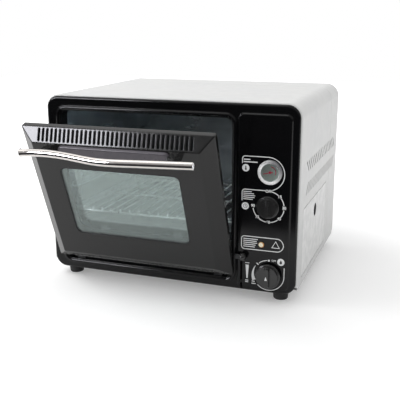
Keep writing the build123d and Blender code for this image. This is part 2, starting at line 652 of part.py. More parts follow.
# ---- gas bay -------------------------------------------------------------------------------------
def make_bay_wall():
    length, through = (SHEET + FIT, DEPTH - SHEET - FIT), (BAY_WALL_X - 1, BAY_WALL_X + 2)
    wall = block((BAY_WALL_X, BAY_WALL_X + SHEET), length, (PAN_TOP, WRAP_TOP - SHEET - FIT))
    wall -= block(through, (0, FRAME_EDGE_R + HEM_DEPTH + 1), (HEIGHT - 4, WRAP_TOP))
    wall -= block(through, (DEPTH - 6, DEPTH), (0, PAN_Z + PAN_WALL + 1))
    wall += block((BAY_WALL_X, BAY_WALL_X + 12), (30, DEPTH - 10), (PAN_TOP, PAN_TOP + SHEET))
    wall -= disc_x((PIPE_Y, PIPE_Z), PIPE_R + 1, *through)
    return wall - disc_x(PROBE_YZ, PROBE_R + 0.5, *through)


def make_heat_shield():
    """Bright sheet on spacers between the liner and the bay's wall."""
    x, sheet, spacer_r = BAY_WALL_X - 3.7, 0.8, 5
    y0, y1, z0, z1 = 34, LINER_DEPTH - 4, FLOOR_Z + 4, CEILING_Z + 2
    shield = block((x, x + sheet), (y0, y1), (z0, z1))
    for y in (y0 + 26, y1 - 28):
        for z in (z0 + 36, z1 - 30):
            shield += disc_x((y, z), spacer_r, x + sheet, BAY_WALL_X)
    shield -= disc_x((PIPE_Y, PIPE_Z), PIPE_R + 1, x - 1, x + 3)
    return shield - disc_x(PROBE_YZ, PROBE_R + 0.5, x - 1, x + 3)


def make_gas_pipe():
    x, z = GAS_XZ[0], PIPE_Z
    end = LINER_RIGHT - 6
    pipe = tube([(x, VALVE_BACK, z), (x, PIPE_Y, z), (end, PIPE_Y, z)], 14, PIPE_R)
    return pipe + disc_y((x, z), PIPE_R + 2, VALVE_BACK, VALVE_BACK + 6)


def make_valve_body():
    """Cast valve: flange on the pad, bonnet round the stem, and the body with its inlet neck on top."""
    x, z = GAS_XZ
    flange_r, bonnet_r, half, neck_r, neck_y = 14, 9.5, 13, 7, 34
    body = disc_y(GAS_XZ, flange_r, PAD_BACK, PAD_BACK + 3)
    body += disc_y(GAS_XZ, bonnet_r, PAD_BACK, BONNET_BACK)
    body += block((x - half, x + half), (VALVE_FRONT, VALVE_BACK), (z - 11, z + 12))
    body += disc_z((x, neck_y), neck_r, z + 10, CARTRIDGE_XZ[1] - REGULATOR_R)
    body -= disc_y(GAS_XZ, BONNET_R, 3, 18)
    return body - disc_y(GAS_XZ, STEM_R + RUNNING, PAD_BACK - 1, 30)


def make_valve_plunger():
    """Thrust collar that carries the stem and slides in the bonnet."""
    return disc_y(GAS_XZ, BONNET_R - RUNNING, 4, 9) - disc_y(GAS_XZ, STEM_R + RUNNING, 3, 10)


def make_valve_stem():
    return disc_y(GAS_XZ, STEM_R, GAS_KNOB_BACK - KNOB_BORE, BONNET_BACK)


def grip_knob(xz, radius, depth, back, skirt, grip_width):
    """Turning knob: skirt, tapered body and a grip bar across the front."""
    shape = disc_y(xz, radius, back - skirt, back)
    shape = fillet(front_edges(shape), skirt * 0.45)
    crown = radius - 3
    shape += disc_y(xz, crown, back - depth * 0.55, back - skirt + 0.5)
    bar = Pos(*xz) * RectangleRounded(grip_width, 2 * crown, grip_width * 0.45)
    bar = extrude(Plane.XZ.offset(-(back - 1)) * bar, amount=depth - 1, taper=6)
    return shape + bar


def make_gas_knob():
    knob = grip_knob(GAS_XZ, GAS_KNOB_R, GAS_KNOB_DEPTH, GAS_KNOB_BACK, KNOB_SKIRT, 11.0)
    return knob - disc_y(GAS_XZ, STEM_R, GAS_KNOB_BACK - KNOB_BORE, GAS_KNOB_BACK + 1)


def make_timer_knob():
    knob = grip_knob(TIMER_XZ, TIMER_KNOB_R, TIMER_KNOB_DEPTH, TIMER_KNOB_BACK, KNOB_SKIRT, 9.0)
    return knob - disc_y(TIMER_XZ, STEM_R, TIMER_KNOB_BACK - KNOB_BORE, TIMER_KNOB_BACK + 1)


def make_timer_spindle():
    return disc_y(TIMER_XZ, STEM_R, TIMER_KNOB_BACK - KNOB_BORE, 12)


def make_timer_body():
    x, z = TIMER_XZ
    half = TIMER_BODY / 2
    body = block((x - half, x + half), (PAD_BACK, TIMER_BACK), (z - half, z + half))
    body = fillet(body.edges().filter_by(Axis.Y), 4)
    return [body - disc_y(TIMER_XZ, STEM_R + RUNNING, PAD_BACK - 1, 13), timer_bell()]


def timer_bell():
    """Bell cup on the back of the timer."""
    radius, rim, crown = 18, TIMER_BACK + 3, TIMER_BACK + 12
    bell = fillet(back_edges(disc_y(TIMER_XZ, radius, rim, crown)), 5)
    hollow = fillet(back_edges(disc_y(TIMER_XZ, radius - SHEET, rim - 1, crown - SHEET)), 4)
    return bell - hollow + disc_y(TIMER_XZ, 3, TIMER_BACK, crown + 0.5)


def make_thermometer():
    x, z = THERMOMETER_XZ
    seat = -PAD_PROUD
    glass = seat - 3.8  # front of the lens
    front = seat - 5.5
    crest = (THERMOMETER_R + DIAL_R) / 2
    case = disc_y(THERMOMETER_XZ, THERMOMETER_CASE_R, seat - 1.2, 18)
    case -= disc_y(THERMOMETER_XZ, DIAL_R, seat - 2, seat)
    case -= disc_y(THERMOMETER_XZ, 1 + RUNNING, seat - 2, 6)
    dial = disc_y(THERMOMETER_XZ, DIAL_R, seat - 0.5, seat)
    dial -= disc_y(THERMOMETER_XZ, 1 + RUNNING, seat - 2, 6)
    bezel = disc_y(THERMOMETER_XZ, THERMOMETER_R, front, seat)
    bezel = fillet(front_edges(bezel), 2.4)
    bezel -= cone_y(THERMOMETER_XZ, (crest, front), (DIAL_R, glass))
    bezel -= disc_y(THERMOMETER_XZ, DIAL_R, glass, seat + 1)
    bezel -= disc_y(THERMOMETER_XZ, THERMOMETER_CASE_R, seat - 1.2, seat + 1)
    lens = disc_y(THERMOMETER_XZ, DIAL_R, glass, glass + 1)
    outline = [(-0.78, -0.18), (-0.75, -0.245), (0.33, -0.01), (0.28, 0.1)]  # of the dial's radius
    arm = Pos(x, z) * make_face(Polyline(*[(DIAL_R * u, DIAL_R * v) for u, v in outline], close=True))
    needle = along_y(arm, seat - 1.8, seat - 1.3)
    needle += disc_y(THERMOMETER_XZ, 2.2, seat - 2.2, seat - 1.3)
    needle += disc_y(THERMOMETER_XZ, 1, seat - 2, 4)
    return {
        "thermometer_case": case,
        "thermometer_dial": dial,
        "thermometer_bezel": bezel,
        "thermometer_lens": lens,
        "thermometer_needle": needle,
    }


def make_thermometer_capillary():
    x, z = THERMOMETER_XZ
    y, probe_z = PROBE_YZ
    inside = LINER_RIGHT - PROBE_REACH
    pipe = tube([(x, 18, z), (x, 40, z), (x, 40, probe_z), (x, y, probe_z), (inside, y, probe_z)], 8, 1.2)
    return pipe + disc_x(PROBE_YZ, PROBE_R, inside - 1, BAY_WALL_X)


def make_sight_lens():
    lens = disc_y(SIGHT_XZ, SIGHT_R - FIT, -PAD_PROUD - 2.2, 8)
    return fillet(front_edges(lens), 1.8)


def make_sight_bezel():
    return disc_y(SIGHT_XZ, SIGHT_R + 2.2, PAD_BACK, PAD_BACK + 6) - disc_y(SIGHT_XZ, SIGHT_R - FIT, -9, 20)


def make_regulator():
    """Stepped body with the socket that takes the cartridge's neck."""
    cap_y, front, back, neck = 14, 20, 48, CARTRIDGE_FRONT - 2
    body = fillet(front_edges(disc_y(CARTRIDGE_XZ, REGULATOR_R, front, back)), 3)
    body += disc_y(CARTRIDGE_XZ, 13, cap_y, front + 1)
    body += disc_y(CARTRIDGE_XZ, 14, back, neck)
    return body - disc_y(CARTRIDGE_XZ, 6, back + 2, neck + 1)


def make_igniter():
    """Piezo unit beside the valve, hung from the bay side of the valve body."""
    x, z = GAS_XZ
    unit = block((x - 27, x - 13), (VALVE_FRONT + 2, VALVE_BACK - 2), (z - 8, z + 8))
    return fillet(unit.edges().filter_by(Axis.Y), 2)


def make_cartridge_cradle():
    """Trough under the cartridge, on two folded legs."""
    x, z = CARTRIDGE_XZ
    r = CARTRIDGE_R + 0.5
    wrap = radians(35)  # each side of straight down
    y0, y1 = CARTRIDGE_FRONT + 22, CARTRIDGE_FRONT + CARTRIDGE_LENGTH - 8
    ring = Pos(x, z) * (Circle(r + 1.2) - Circle(r))
    top, bottom = z - r * cos(wrap), z - r - 3
    section = ring & Pos(x, (top + bottom) / 2) * Rectangle(2.1 * r * sin(wrap), top - bottom)
    cradle = along_y(section, y0, y1)
    width, sheet, foot = (x - 16, x + 16), 1.5, 14
    for y in (y0 + 40, y1 - 20):
        leg = block(width, (y, y + sheet), (PAN_TOP, z - r * 0.93))
        leg -= disc_y(CARTRIDGE_XZ, r + 0.6, y - 1, y + 3)
        cradle += leg + block(width, (y, y + foot), (PAN_TOP, PAN_TOP + sheet))
    return cradle


def crank_pin():
    """Middle of the crank pin at rest, as (y, z)."""
    y, z = LEVER_PIVOT
    turn = radians(LEVER_ANGLE)
    return y + CRANK * sin(turn), z + CRANK * cos(turn)


def make_cartridge_pusher():
    """Flat bar from the lever back to the plate that pushes the cartridge forward."""
    pin_y, pin_z = crank_pin()
    z0, z1 = PUSHER_BAR_Z
    plate_back = PUSHER_PLATE_Y + PUSHER_SHEET
    bar = block((PUSHER_X, PUSHER_X + PUSHER_SHEET), (pin_y - 7, plate_back), (z0, z1))
    slot = LEVER_PIN_R + 0.25
    through = (PUSHER_X - 1, PUSHER_X + PUSHER_SHEET + 1)
    bar -= block(through, (pin_y - slot, pin_y + slot), (pin_z - 2.9, pin_z + 3.6))
    x, z = CARTRIDGE_XZ
    plate = block((PUSHER_X, x + 22), (PUSHER_PLATE_Y, plate_back), (z0, z + 26))
    plate -= block((PUSHER_X - 1, x - 26), (PUSHER_PLATE_Y - 1, DEPTH), (z1 + 6, HEIGHT))
    return bar + plate


def make_pusher_guides():
    """Two blocks on the bay wall with a slot that the bar slides in."""
    wall = BAY_WALL_X + SHEET
    z0, z1 = PUSHER_BAR_Z
    guides = []
    for y in (PIPE_Y + 22, PUSHER_PLATE_Y - 30):
        guide = block((wall, PUSHER_X + 5), (y, y + 10), (z0 - 4, z1 + 4))
        width = (PUSHER_X - PUSHER_SLIP, PUSHER_X + PUSHER_SHEET + PUSHER_SLIP)
        guide -= block(width, (y - 1, y + 11), (z0 - PUSHER_SLIP, z1 + PUSHER_SLIP))
        guides.append(guide)
    return guides


def make_lever_pivot():
    """Foot on the bay wall with the stud that the lever turns on."""
    y, z = LEVER_PIVOT
    wall = BAY_WALL_X + SHEET
    foot = wall + 2
    near, far = LEVER_X - FIT, LEVER_X + LEVER_SHEET + FIT
    pivot = block((wall, foot), (y - 12, y + 12), (z - 14, z + 10))
    pivot += disc_x(LEVER_PIVOT, 4.5, foot, near)
    pivot += disc_x(LEVER_PIVOT, HINGE_PIN_R, LEVER_X - 1, far + 0.8)
    return pivot + disc_x(LEVER_PIVOT, 4, far, far + 1.6)


def make_lever_arm():
    """Sheet lever: long arm to the front, short crank upwards with its pin."""
    y, z = LEVER_PIVOT
    pin_y, pin_z = crank_pin()
    tip_y, tip_z = y - LEVER_REACH, z + LEVER_RISE
    width = 8
    arm = SlotCenterToCenter(hypot(LEVER_REACH, LEVER_RISE), width)
    arm = Pos((y + tip_y) / 2, (z + tip_z) / 2) * Rot(0, 0, -LEVER_ANGLE) * arm
    crank = SlotCenterToCenter(CRANK, width + 1)
    crank = Pos((y + pin_y) / 2, (z + pin_z) / 2) * Rot(0, 0, 90 - LEVER_ANGLE) * crank
    hub = Pos(y, z) * Circle(6.5)
    lever = along_x(arm + crank + hub, LEVER_X, LEVER_X + LEVER_SHEET)
    lever += disc_x((pin_y, pin_z), LEVER_PIN_R, LEVER_X + LEVER_SHEET, PUSHER_X + 2.6)
    tab_y = (tip_y, tip_y + LEVER_SHEET)
    tab_z = (tip_z - width / 2, tip_z + width / 2)
    lever += block((LEVER_X - LEVER_TAB, LEVER_X + LEVER_SHEET), tab_y, tab_z)
    return lever - disc_x(LEVER_PIVOT, HINGE_PIN_R + RUNNING, LEVER_X - 1, LEVER_X + LEVER_SHEET + 1)


def make_lever_knob():
    y, z = LEVER_PIVOT
    seat = LEVER_X + LEVER_SHEET
    ball = Pos(seat + 3, y - LEVER_REACH, z + LEVER_RISE) * Sphere(LEVER_BALL_R)
    return ball - block((seat - LEVER_BALL_R, seat), (-DEPTH, DEPTH), (0, HEIGHT))


# ---- cartridge door ------------------------------------------------------------------------------
def side_door_ends():
    """Outer sides of the door's two end folds, with the way out of the door."""
    return ((SIDE_DOOR_Y[0], -1), (SIDE_DOOR_Y[1], 1))


def make_cartridge_door():
    """Flat panel with folded edges, a finger hole and a tab with a pin at each lower end."""
    panel = along_x(side_door_outline(), WRAP_INSIDE, WRAP_HALF)
    hole = (sum(SIDE_DOOR_Y) / 2, SIDE_DOOR_Z[1] - FINGER_HOLE_DROP)
    rim = along_x(side_door_outline() - side_door_outline(-SHEET), WRAP_INSIDE - SIDE_FOLD, WRAP_INSIDE)
    panel += rim - block((WRAP_INSIDE - SIDE_FOLD - 1, WRAP_HALF), (0, DEPTH), (0, SIDE_HINGE[1]))
    panel -= disc_x(hole, FINGER_HOLE_R, WRAP_INSIDE - SIDE_FOLD, WRAP_HALF + 1)
    for y, out in side_door_ends():
        tab_y = sorted((y, y - out * 1.5))
        tab = disc_y(SIDE_HINGE, SIDE_TAB_R, *tab_y)
        tab += block((SIDE_HINGE[0] - SIDE_TAB_R, WRAP_INSIDE), tab_y, (SIDE_HINGE[1], SIDE_HINGE[1] + 14))
        panel += tab + disc_y(SIDE_HINGE, SIDE_PIN_R, *sorted((y, y + out * SIDE_EYE[1])))
    return panel


def make_cartridge_door_hinges():
    """Eyes on the inside of the wrap, beyond both ends of the door."""
    hinge_x, hinge_z = SIDE_HINGE
    eyes = []
    for y, out in side_door_ends():
        low, high = sorted(y + out * reach for reach in SIDE_EYE)
        eye = disc_y(SIDE_HINGE, SIDE_EYE_R, low, high)
        eye += block((hinge_x - SIDE_EYE_R, WRAP_INSIDE), (low, high), (hinge_z, hinge_z + 12))
        eyes.append(eye - disc_y(SIDE_HINGE, SIDE_PIN_R + RUNNING, low - 1, high + 1))
    return eyes


def make_door_catch():
    """Magnet catch inside the wrap, above the cartridge door."""
    y = sum(SIDE_DOOR_Y) / 2
    z = SIDE_DOOR_Z[1] + SIDE_DOOR_GAP
    back, width = WRAP_INSIDE - 9, (y - 14, y + 14)
    catch = block((back, WRAP_INSIDE), width, (z, z + 12))
    return catch + block((back, WRAP_INSIDE - SIDE_FOLD - 0.4), width, (z - 8, z))


# ---- oven door, built closed ---------------------------------------------------------------------
def door_body(wall):
    """Bevelled door form; a positive wall gives the hollow that leaves that thickness."""
    slope = BEVEL_INSET / BEVEL_DEPTH
    shift = wall * sqrt(1 + slope**2)
    knee = (shift - wall) / slope if wall else 0.0
    face_inset = slope * (BEVEL_DEPTH - wall) + shift

    def outline(y, inset):
        size = Rectangle(DOOR_WIDTH - 2 * inset, DOOR_HEIGHT - 2 * inset)
        return Plane.XZ.offset(-y) * Pos(OVEN_X, DOOR_MID_Z) * size

    rim = extrude(outline(DOOR_BACK + (1 if wall else 0), wall), amount=DOOR_RIM + (1 if wall else 0) - knee)
    bevel = loft([outline(DOOR_Y + knee, wall), outline(DOOR_FACE + wall, face_inset)], ruled=True)
    body = rim + bevel
    bends = body.edges().filter_by(lambda edge: edge.bounding_box().min.Y < DOOR_BACK - 1)
    return fillet(bends, DOOR_EDGE_R - wall)


def bevel_slots(length, top):
    """Row of slots through the top or bottom bevel."""
    tilt = degrees(atan2(BEVEL_INSET, BEVEL_DEPTH))
    side = 1 if top else -1
    z = DOOR_Z + (DOOR_HEIGHT - BEVEL_INSET / 2 if top else BEVEL_INSET / 2)
    y = DOOR_Y - BEVEL_DEPTH / 2
    slot = RectangleRounded(DOOR_SLOT_WIDTH, length, DOOR_SLOT_WIDTH * 0.42)
    slots = row_of(slot, DOOR_SLOTS, DOOR_SLOT_PITCH, 0, 0)
    cutter = extrude(slots, amount=3, both=True)
    return Pos(OVEN_X, y, z) * Rot(90 - side * (90 - tilt), 0, 0) * cutter


def window(grow, y0, y1):
    """Prism of the door's window, larger by grow all round."""
    size = (WINDOW_WIDTH + 2 * grow, WINDOW_HEIGHT + 2 * grow, WINDOW_R + grow)
    outline = rounded(OVEN_X, WINDOW_MID_Z, *size)
    return along_y(outline, y0, y1)


def make_grip_plate():
    """Moulded plate on the door's face, between the stand-offs of the handle."""
    z = DOOR_Z + PLATE_LOW + PLATE_HEIGHT / 2
    outline = rounded(OVEN_X, z, PLATE_WIDTH, PLATE_HEIGHT, PLATE_R)
    plate = along_y(outline, DOOR_FACE - PLATE_PROUD, DOOR_FACE)
    return fillet(front_edges(plate), PLATE_EDGE_R)


def bracket_places():
    return [OVEN_X - BRACKET_X, OVEN_X + BRACKET_X]


def bracket_screw_places():
    half = BRACKET_SCREW_PITCH / 2
    return [(x, DOOR_Z + BRACKET_U + z) for x in bracket_places() for z in (-half, half)]


def hinge_places():
    return [OVEN_X - HINGE_X, OVEN_X + HINGE_X]


def hinge_notch(grow):
    """Space in the door for the cabinet's hinge brackets."""
    half = HINGE_BRACKET / 2 + 0.5 + grow
    depth, height = (HINGE_Y - 7, DOOR_BACK + 1), (DOOR_Z - 1, HINGE_Z + 9)
    return joined([block((x - half, x + half), depth, height) for x in hinge_places()])


def make_door_skin():
    skin = door_body(0) - door_body(DOOR_SHEET)
    skin -= window(0, DOOR_FACE - 1, DOOR_FACE + 3)
    skin -= bevel_slots(TOP_SLOT_LENGTH, True)
    skin -= bevel_slots(LOW_SLOT_LENGTH, False)
    skin -= hinge_notch(1.0)
    for place in bracket_screw_places():
        skin -= disc_y(place, BRACKET_SCREW_R + FIT, DOOR_FACE - 1, DOOR_FACE + 3)
    return skin


def make_door_inner_panel():
    """Tray that closes the back of the door, with a flanged window opening."""
    inset = DOOR_SHEET + FIT
    width, height = DOOR_WIDTH - 2 * inset, DOOR_HEIGHT - 2 * inset
    outline = rounded(OVEN_X, DOOR_MID_Z, width, height, DOOR_EDGE_R - DOOR_SHEET)
    y = INNER_PANEL_Y
    panel = along_y(outline, y - 5, y + DOOR_SHEET)
    inner = Pos(OVEN_X, DOOR_MID_Z) * Rectangle(width - 2 * DOOR_SHEET, height - 2 * DOOR_SHEET)
    panel -= along_y(inner, y - 7, y)
    panel += window(4, y, y + DOOR_SHEET + 1.5)
    panel -= window(1.5, y - 1, y + 5)
    return panel - hinge_notch(1.0)


def make_outer_glass():
    y = DOOR_FACE + DOOR_SHEET
    return window(GLASS_LAP, y, y + GLASS)


def make_inner_glass():
    return window(GLASS_LAP, INNER_PANEL_Y - INNER_GLASS, INNER_PANEL_Y)


def make_glass_clips():
    """Folded clips that press the outer glass to the door's face."""
    y = DOOR_FACE + DOOR_SHEET
    clips = []
    for x in (OVEN_X - CLIP_X, OVEN_X + CLIP_X):
        width = (x - CLIP_WIDTH / 2, x + CLIP_WIDTH / 2)
        for side in (-1, 1):
            edge = WINDOW_MID_Z + side * (WINDOW_HEIGHT / 2 + GLASS_LAP)
            outside = edge + side * CLIP_REACH
            clip = block(width, (y, y + GLASS), sorted((edge + side * 0.3, outside)))
            clip += block(width, (y + GLASS, y + GLASS + 1), sorted((edge - side * 5, outside)))
            clips.append(clip)
    return clips


def make_door_gasket():
    """Three-sided seal on the back of the inner panel, over the bead of the mouth."""
    outer = rounded(OVEN_X, DOOR_MID_Z, DOOR_WIDTH - 2 * GASKET_INSET, DOOR_HEIGHT - 2 * GASKET_INSET, 8)
    inset = GASKET_INSET + GASKET_WIDTH
    outer -= rounded(OVEN_X, DOOR_MID_Z, DOOR_WIDTH - 2 * inset, DOOR_HEIGHT - 2 * inset, 4)
    seal = along_y(outer, INNER_PANEL_Y + DOOR_SHEET, -BEAD_PROUD - 0.4)
    return seal - block((-WIDTH, WIDTH), (INNER_PANEL_Y, 0), (0, DOOR_Z + GASKET_DROP))


def make_handle_tube():
    z = DOOR_Z + HANDLE_U
    points = [(OVEN_X + s * HANDLE_ENDS, DOOR_Y - n, z) for s, n in HANDLE_LEFT + HANDLE_RIGHT]
    path = Spline(*points)
    return sweep((path ^ 0) * Circle(HANDLE_R), path=path)


def make_handle_brackets():
    """Stand-offs from the door's face to the handle, cupped round the tube."""
    handle = make_handle_tube()
    handle_z = DOOR_Z + HANDLE_U
    foot = DOOR_Z + BRACKET_U
    tip, nose = DOOR_FACE - BRACKET_REACH, DOOR_FACE - BRACKET_REACH + 4
    upper = [(DOOR_FACE, foot + HANDLE_RAISE), (nose, handle_z + BRACKET_NOSE), (tip, handle_z)]
    lower = [(nose, handle_z - BRACKET_NOSE), (DOOR_FACE - 12, foot - 5), (DOOR_FACE, foot - BRACKET_FOOT)]
    profile = make_face(Polyline(*upper, *lower, close=True))
    blanks = [along_x(profile, x - BRACKET_WIDTH / 2, x + BRACKET_WIDTH / 2) for x in bracket_places()]
    return [(blank - handle).solids().sort_by(Axis.Y)[-1] for blank in blanks]


def make_handle_screws():
    """Screws from inside the door's face into the stand-offs: heads against the sheet."""
    y = DOOR_FACE + DOOR_SHEET
    return [
        disc_y(place, 2.8, y, y + 1.8) + disc_y(place, BRACKET_SCREW_R, DOOR_FACE, y)
        for place in bracket_screw_places()
    ]


def make_hinge_arms():
    """Two-eared brackets inside the door's lower corners."""
    arms = []
    top = HINGE_Z + HINGE_PLATE
    for x in hinge_places():
        width = (x - HINGE_EAR_OUT, x + HINGE_EAR_OUT)
        web = block(width, (INNER_PANEL_Y - 1.5, INNER_PANEL_Y), (HINGE_Z + 10, top))
        for ear in (-1, 1):
            width = sorted((x + ear * HINGE_EAR_IN, x + ear * HINGE_EAR_OUT))
            web += block(width, (HINGE_Y - 3.4, INNER_PANEL_Y), (HINGE_Z - 3.4, top))
        arms.append(web - disc_x((HINGE_Y, HINGE_Z), HINGE_PIN_R, x - 9, x + 9))
    return arms


def make_hinge_pins():
    """Pins fixed in the door's ears, running in the cabinet's brackets."""
    reach = HINGE_EAR_OUT
    return [disc_x((HINGE_Y, HINGE_Z), HINGE_PIN_R, x - reach, x + reach) for x in hinge_places()]


def make_hinge_brackets():
    """Arms from the lip of the mouth out to the door's pins."""
    half, y0, y1 = HINGE_BRACKET / 2, 6, 22  # of the foot on the lip
    brackets = []
    for side, x in zip((-1, 1), hinge_places()):
        arm = Pos(HINGE_Y, HINGE_Z) * Circle(5)
        arm += Pos((HINGE_Y + y1) / 2, HINGE_Z) * Rectangle(y1 - HINGE_Y, 8)
        arm += Pos((y0 + y1) / 2, (HINGE_Z + 4 + MOUTH_Z) / 2) * Rectangle(y1 - y0, HINGE_Z + 4 - MOUTH_Z)
        bracket = along_x(arm, x - half, x + half)
        bracket += block(sorted((x + side * half, x - side * 12)), (y0, y1), (MOUTH_Z, MOUTH_Z + 2))
        brackets.append(bracket - disc_x((HINGE_Y, HINGE_Z), HINGE_PIN_R + RUNNING, x - 9, x + 9))
    return brackets


def swing_door(shape):
    """Turn a piece of the closed door about its hinge to the rest position."""
    hinge = Location((0, HINGE_Y, HINGE_Z))
    return hinge * Rot(DOOR_OPEN, 0, 0) * hinge.inverse() * shape


def door_pieces():
    return {
        "door_skin": make_door_skin(),
        "grip_plate": make_grip_plate(),
        "door_inner_panel": make_door_inner_panel(),
        "outer_glass": make_outer_glass(),
        "inner_glass": make_inner_glass(),
        "glass_clips": make_glass_clips(),
        "door_gasket": make_door_gasket(),
        "handle_tube": make_handle_tube(),
        "handle_brackets": make_handle_brackets(),
        "handle_screws": make_handle_screws(),
        "hinge_arms": make_hinge_arms(),
        "hinge_pins": make_hinge_pins(),
    }


def fixed_pieces():
    return {
        "outer_shell": make_outer_shell(),
        "front_frame": make_front_frame(),
        "back_panel": make_back_panel(),
        "bottom_pan": make_bottom_pan(),
        "feet": make_feet(),
        "cabinet_screws": make_cabinet_screws(),
        "flue_duct": make_flue_duct(),
        "flue_cover": make_flue_cover(),
        "oven_liner": make_oven_liner(),
        "rack_rail_left": make_rack_rail(-1),
        "rack_rail_right": make_rack_rail(1),
        "rail_screws": make_rail_screws(),
        "wire_rack": make_wire_rack(),
        "baking_tray": make_baking_tray(),
        "burner_tube": make_burner_tube(),
        "burner_supports": make_burner_supports(),
        "burner_cover": make_burner_cover(),
        "electrode": make_electrode(),
        "bay_wall": make_bay_wall(),
        "heat_shield": make_heat_shield(),
        "gas_pipe": make_gas_pipe(),
        "valve_body": make_valve_body(),
        "regulator": make_regulator(),
        "igniter": make_igniter(),
        "cartridge_cradle": make_cartridge_cradle(),
        "pusher_guides": make_pusher_guides(),
        "lever_pivot": make_lever_pivot(),
        "timer_body": make_timer_body(),
        "thermometer_capillary": make_thermometer_capillary(),
        "sight_lens": make_sight_lens(),
        "sight_bezel": make_sight_bezel(),
        "cartridge_door_hinges": make_cartridge_door_hinges(),
        "door_catch": make_door_catch(),
        "hinge_brackets": make_hinge_brackets(),
    }


def moving_pieces():
    return {
        "valve_plunger": make_valve_plunger(),
        "valve_stem": make_valve_stem(),
        "gas_knob": make_gas_knob(),
        "timer_spindle": make_timer_spindle(),
        "timer_knob": make_timer_knob(),
        "cartridge_pusher": make_cartridge_pusher(),
        "lever_arm": make_lever_arm(),
        "lever_knob": make_lever_knob(),
        "cartridge_door": make_cartridge_door(),
    }


def overall_middle():
    """Middle of the whole oven's depth, from the open door's handle to the flue hood."""
    turn = radians(DOOR_OPEN)
    up = HANDLE_U - HINGE_UP
    out = max(n for _, n in HANDLE_RIGHT) + HINGE_IN
    front = HINGE_Y - up * sin(turn) - out * cos(turn) - HANDLE_R
    return (front + DEPTH + FLUE_HOOD) / 2


ORIGIN = Pos(0, -overall_middle(), FOOT_HEIGHT)


def main():
    pieces = fixed_pieces() | moving_pieces() | make_thermometer()
    pieces |= {name: [swing_door(s) for s in as_list(shape)] for name, shape in door_pieces().items()}
    os.makedirs("parts", exist_ok=True)
    for name, shape in pieces.items():
        group = Compound(children=[ORIGIN * piece for piece in as_list(shape)])
        export_step(group, f"parts/{name}.step")


main()
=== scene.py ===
import bpy, bmesh, json
from math import cos, pi, radians, sin
from mathutils import Matrix, Vector


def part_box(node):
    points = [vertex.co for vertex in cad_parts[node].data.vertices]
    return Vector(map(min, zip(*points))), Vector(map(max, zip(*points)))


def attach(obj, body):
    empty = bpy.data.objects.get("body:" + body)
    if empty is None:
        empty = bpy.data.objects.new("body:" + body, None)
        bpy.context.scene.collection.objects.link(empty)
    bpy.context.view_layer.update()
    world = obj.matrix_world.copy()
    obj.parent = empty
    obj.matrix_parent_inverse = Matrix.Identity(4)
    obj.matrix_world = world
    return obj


# Portable gas oven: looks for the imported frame. Metres, X to the right, Y to the back, Z up.
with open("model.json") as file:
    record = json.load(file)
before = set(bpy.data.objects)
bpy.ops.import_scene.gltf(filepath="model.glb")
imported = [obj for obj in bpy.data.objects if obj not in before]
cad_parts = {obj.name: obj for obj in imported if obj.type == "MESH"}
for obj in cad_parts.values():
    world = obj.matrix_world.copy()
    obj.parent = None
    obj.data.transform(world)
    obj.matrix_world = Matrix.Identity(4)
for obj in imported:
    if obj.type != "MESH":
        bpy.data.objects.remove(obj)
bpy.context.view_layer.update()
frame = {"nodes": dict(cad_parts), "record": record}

MM = 0.001


# ---- shader nodes --------------------------------------------------------------------------------
def set_socket(tree, socket, value):
    """Link another node's output to a socket, or set a plain value on it."""
    if isinstance(value, bpy.types.NodeSocket):
        tree.links.new(value, socket)
    else:
        socket.default_value = value


def add_node(tree, kind, *values, operation=None, **named):
    """New shader node: values fill its inputs in order, named ones by name, with _ for a space."""
    made = tree.nodes.new("ShaderNode" + kind)
    if operation:
        made.operation = operation
    for socket, value in zip(made.inputs, values):
        set_socket(tree, socket, value)
    for name, value in named.items():
        set_socket(tree, made.inputs[name.replace("_", " ")], value)
    return made


def calculate(tree, operation, first, second):
    """Output of a Math node."""
    return add_node(tree, "Math", first, second, operation=operation).outputs[0]


def map_range(tree, value, start, end, low, high):
    """Output from low to high as the value goes from start to end."""
    ends = {"From_Min": start, "From_Max": end, "To_Min": low, "To_Max": high}
    return add_node(tree, "MapRange", Value=value, **ends).outputs[0]


# ---- materials -----------------------------------------------------------------------------------
NOISE_LOW, NOISE_HIGH = 0.3, 0.7  # nearly all of a noise lies between these


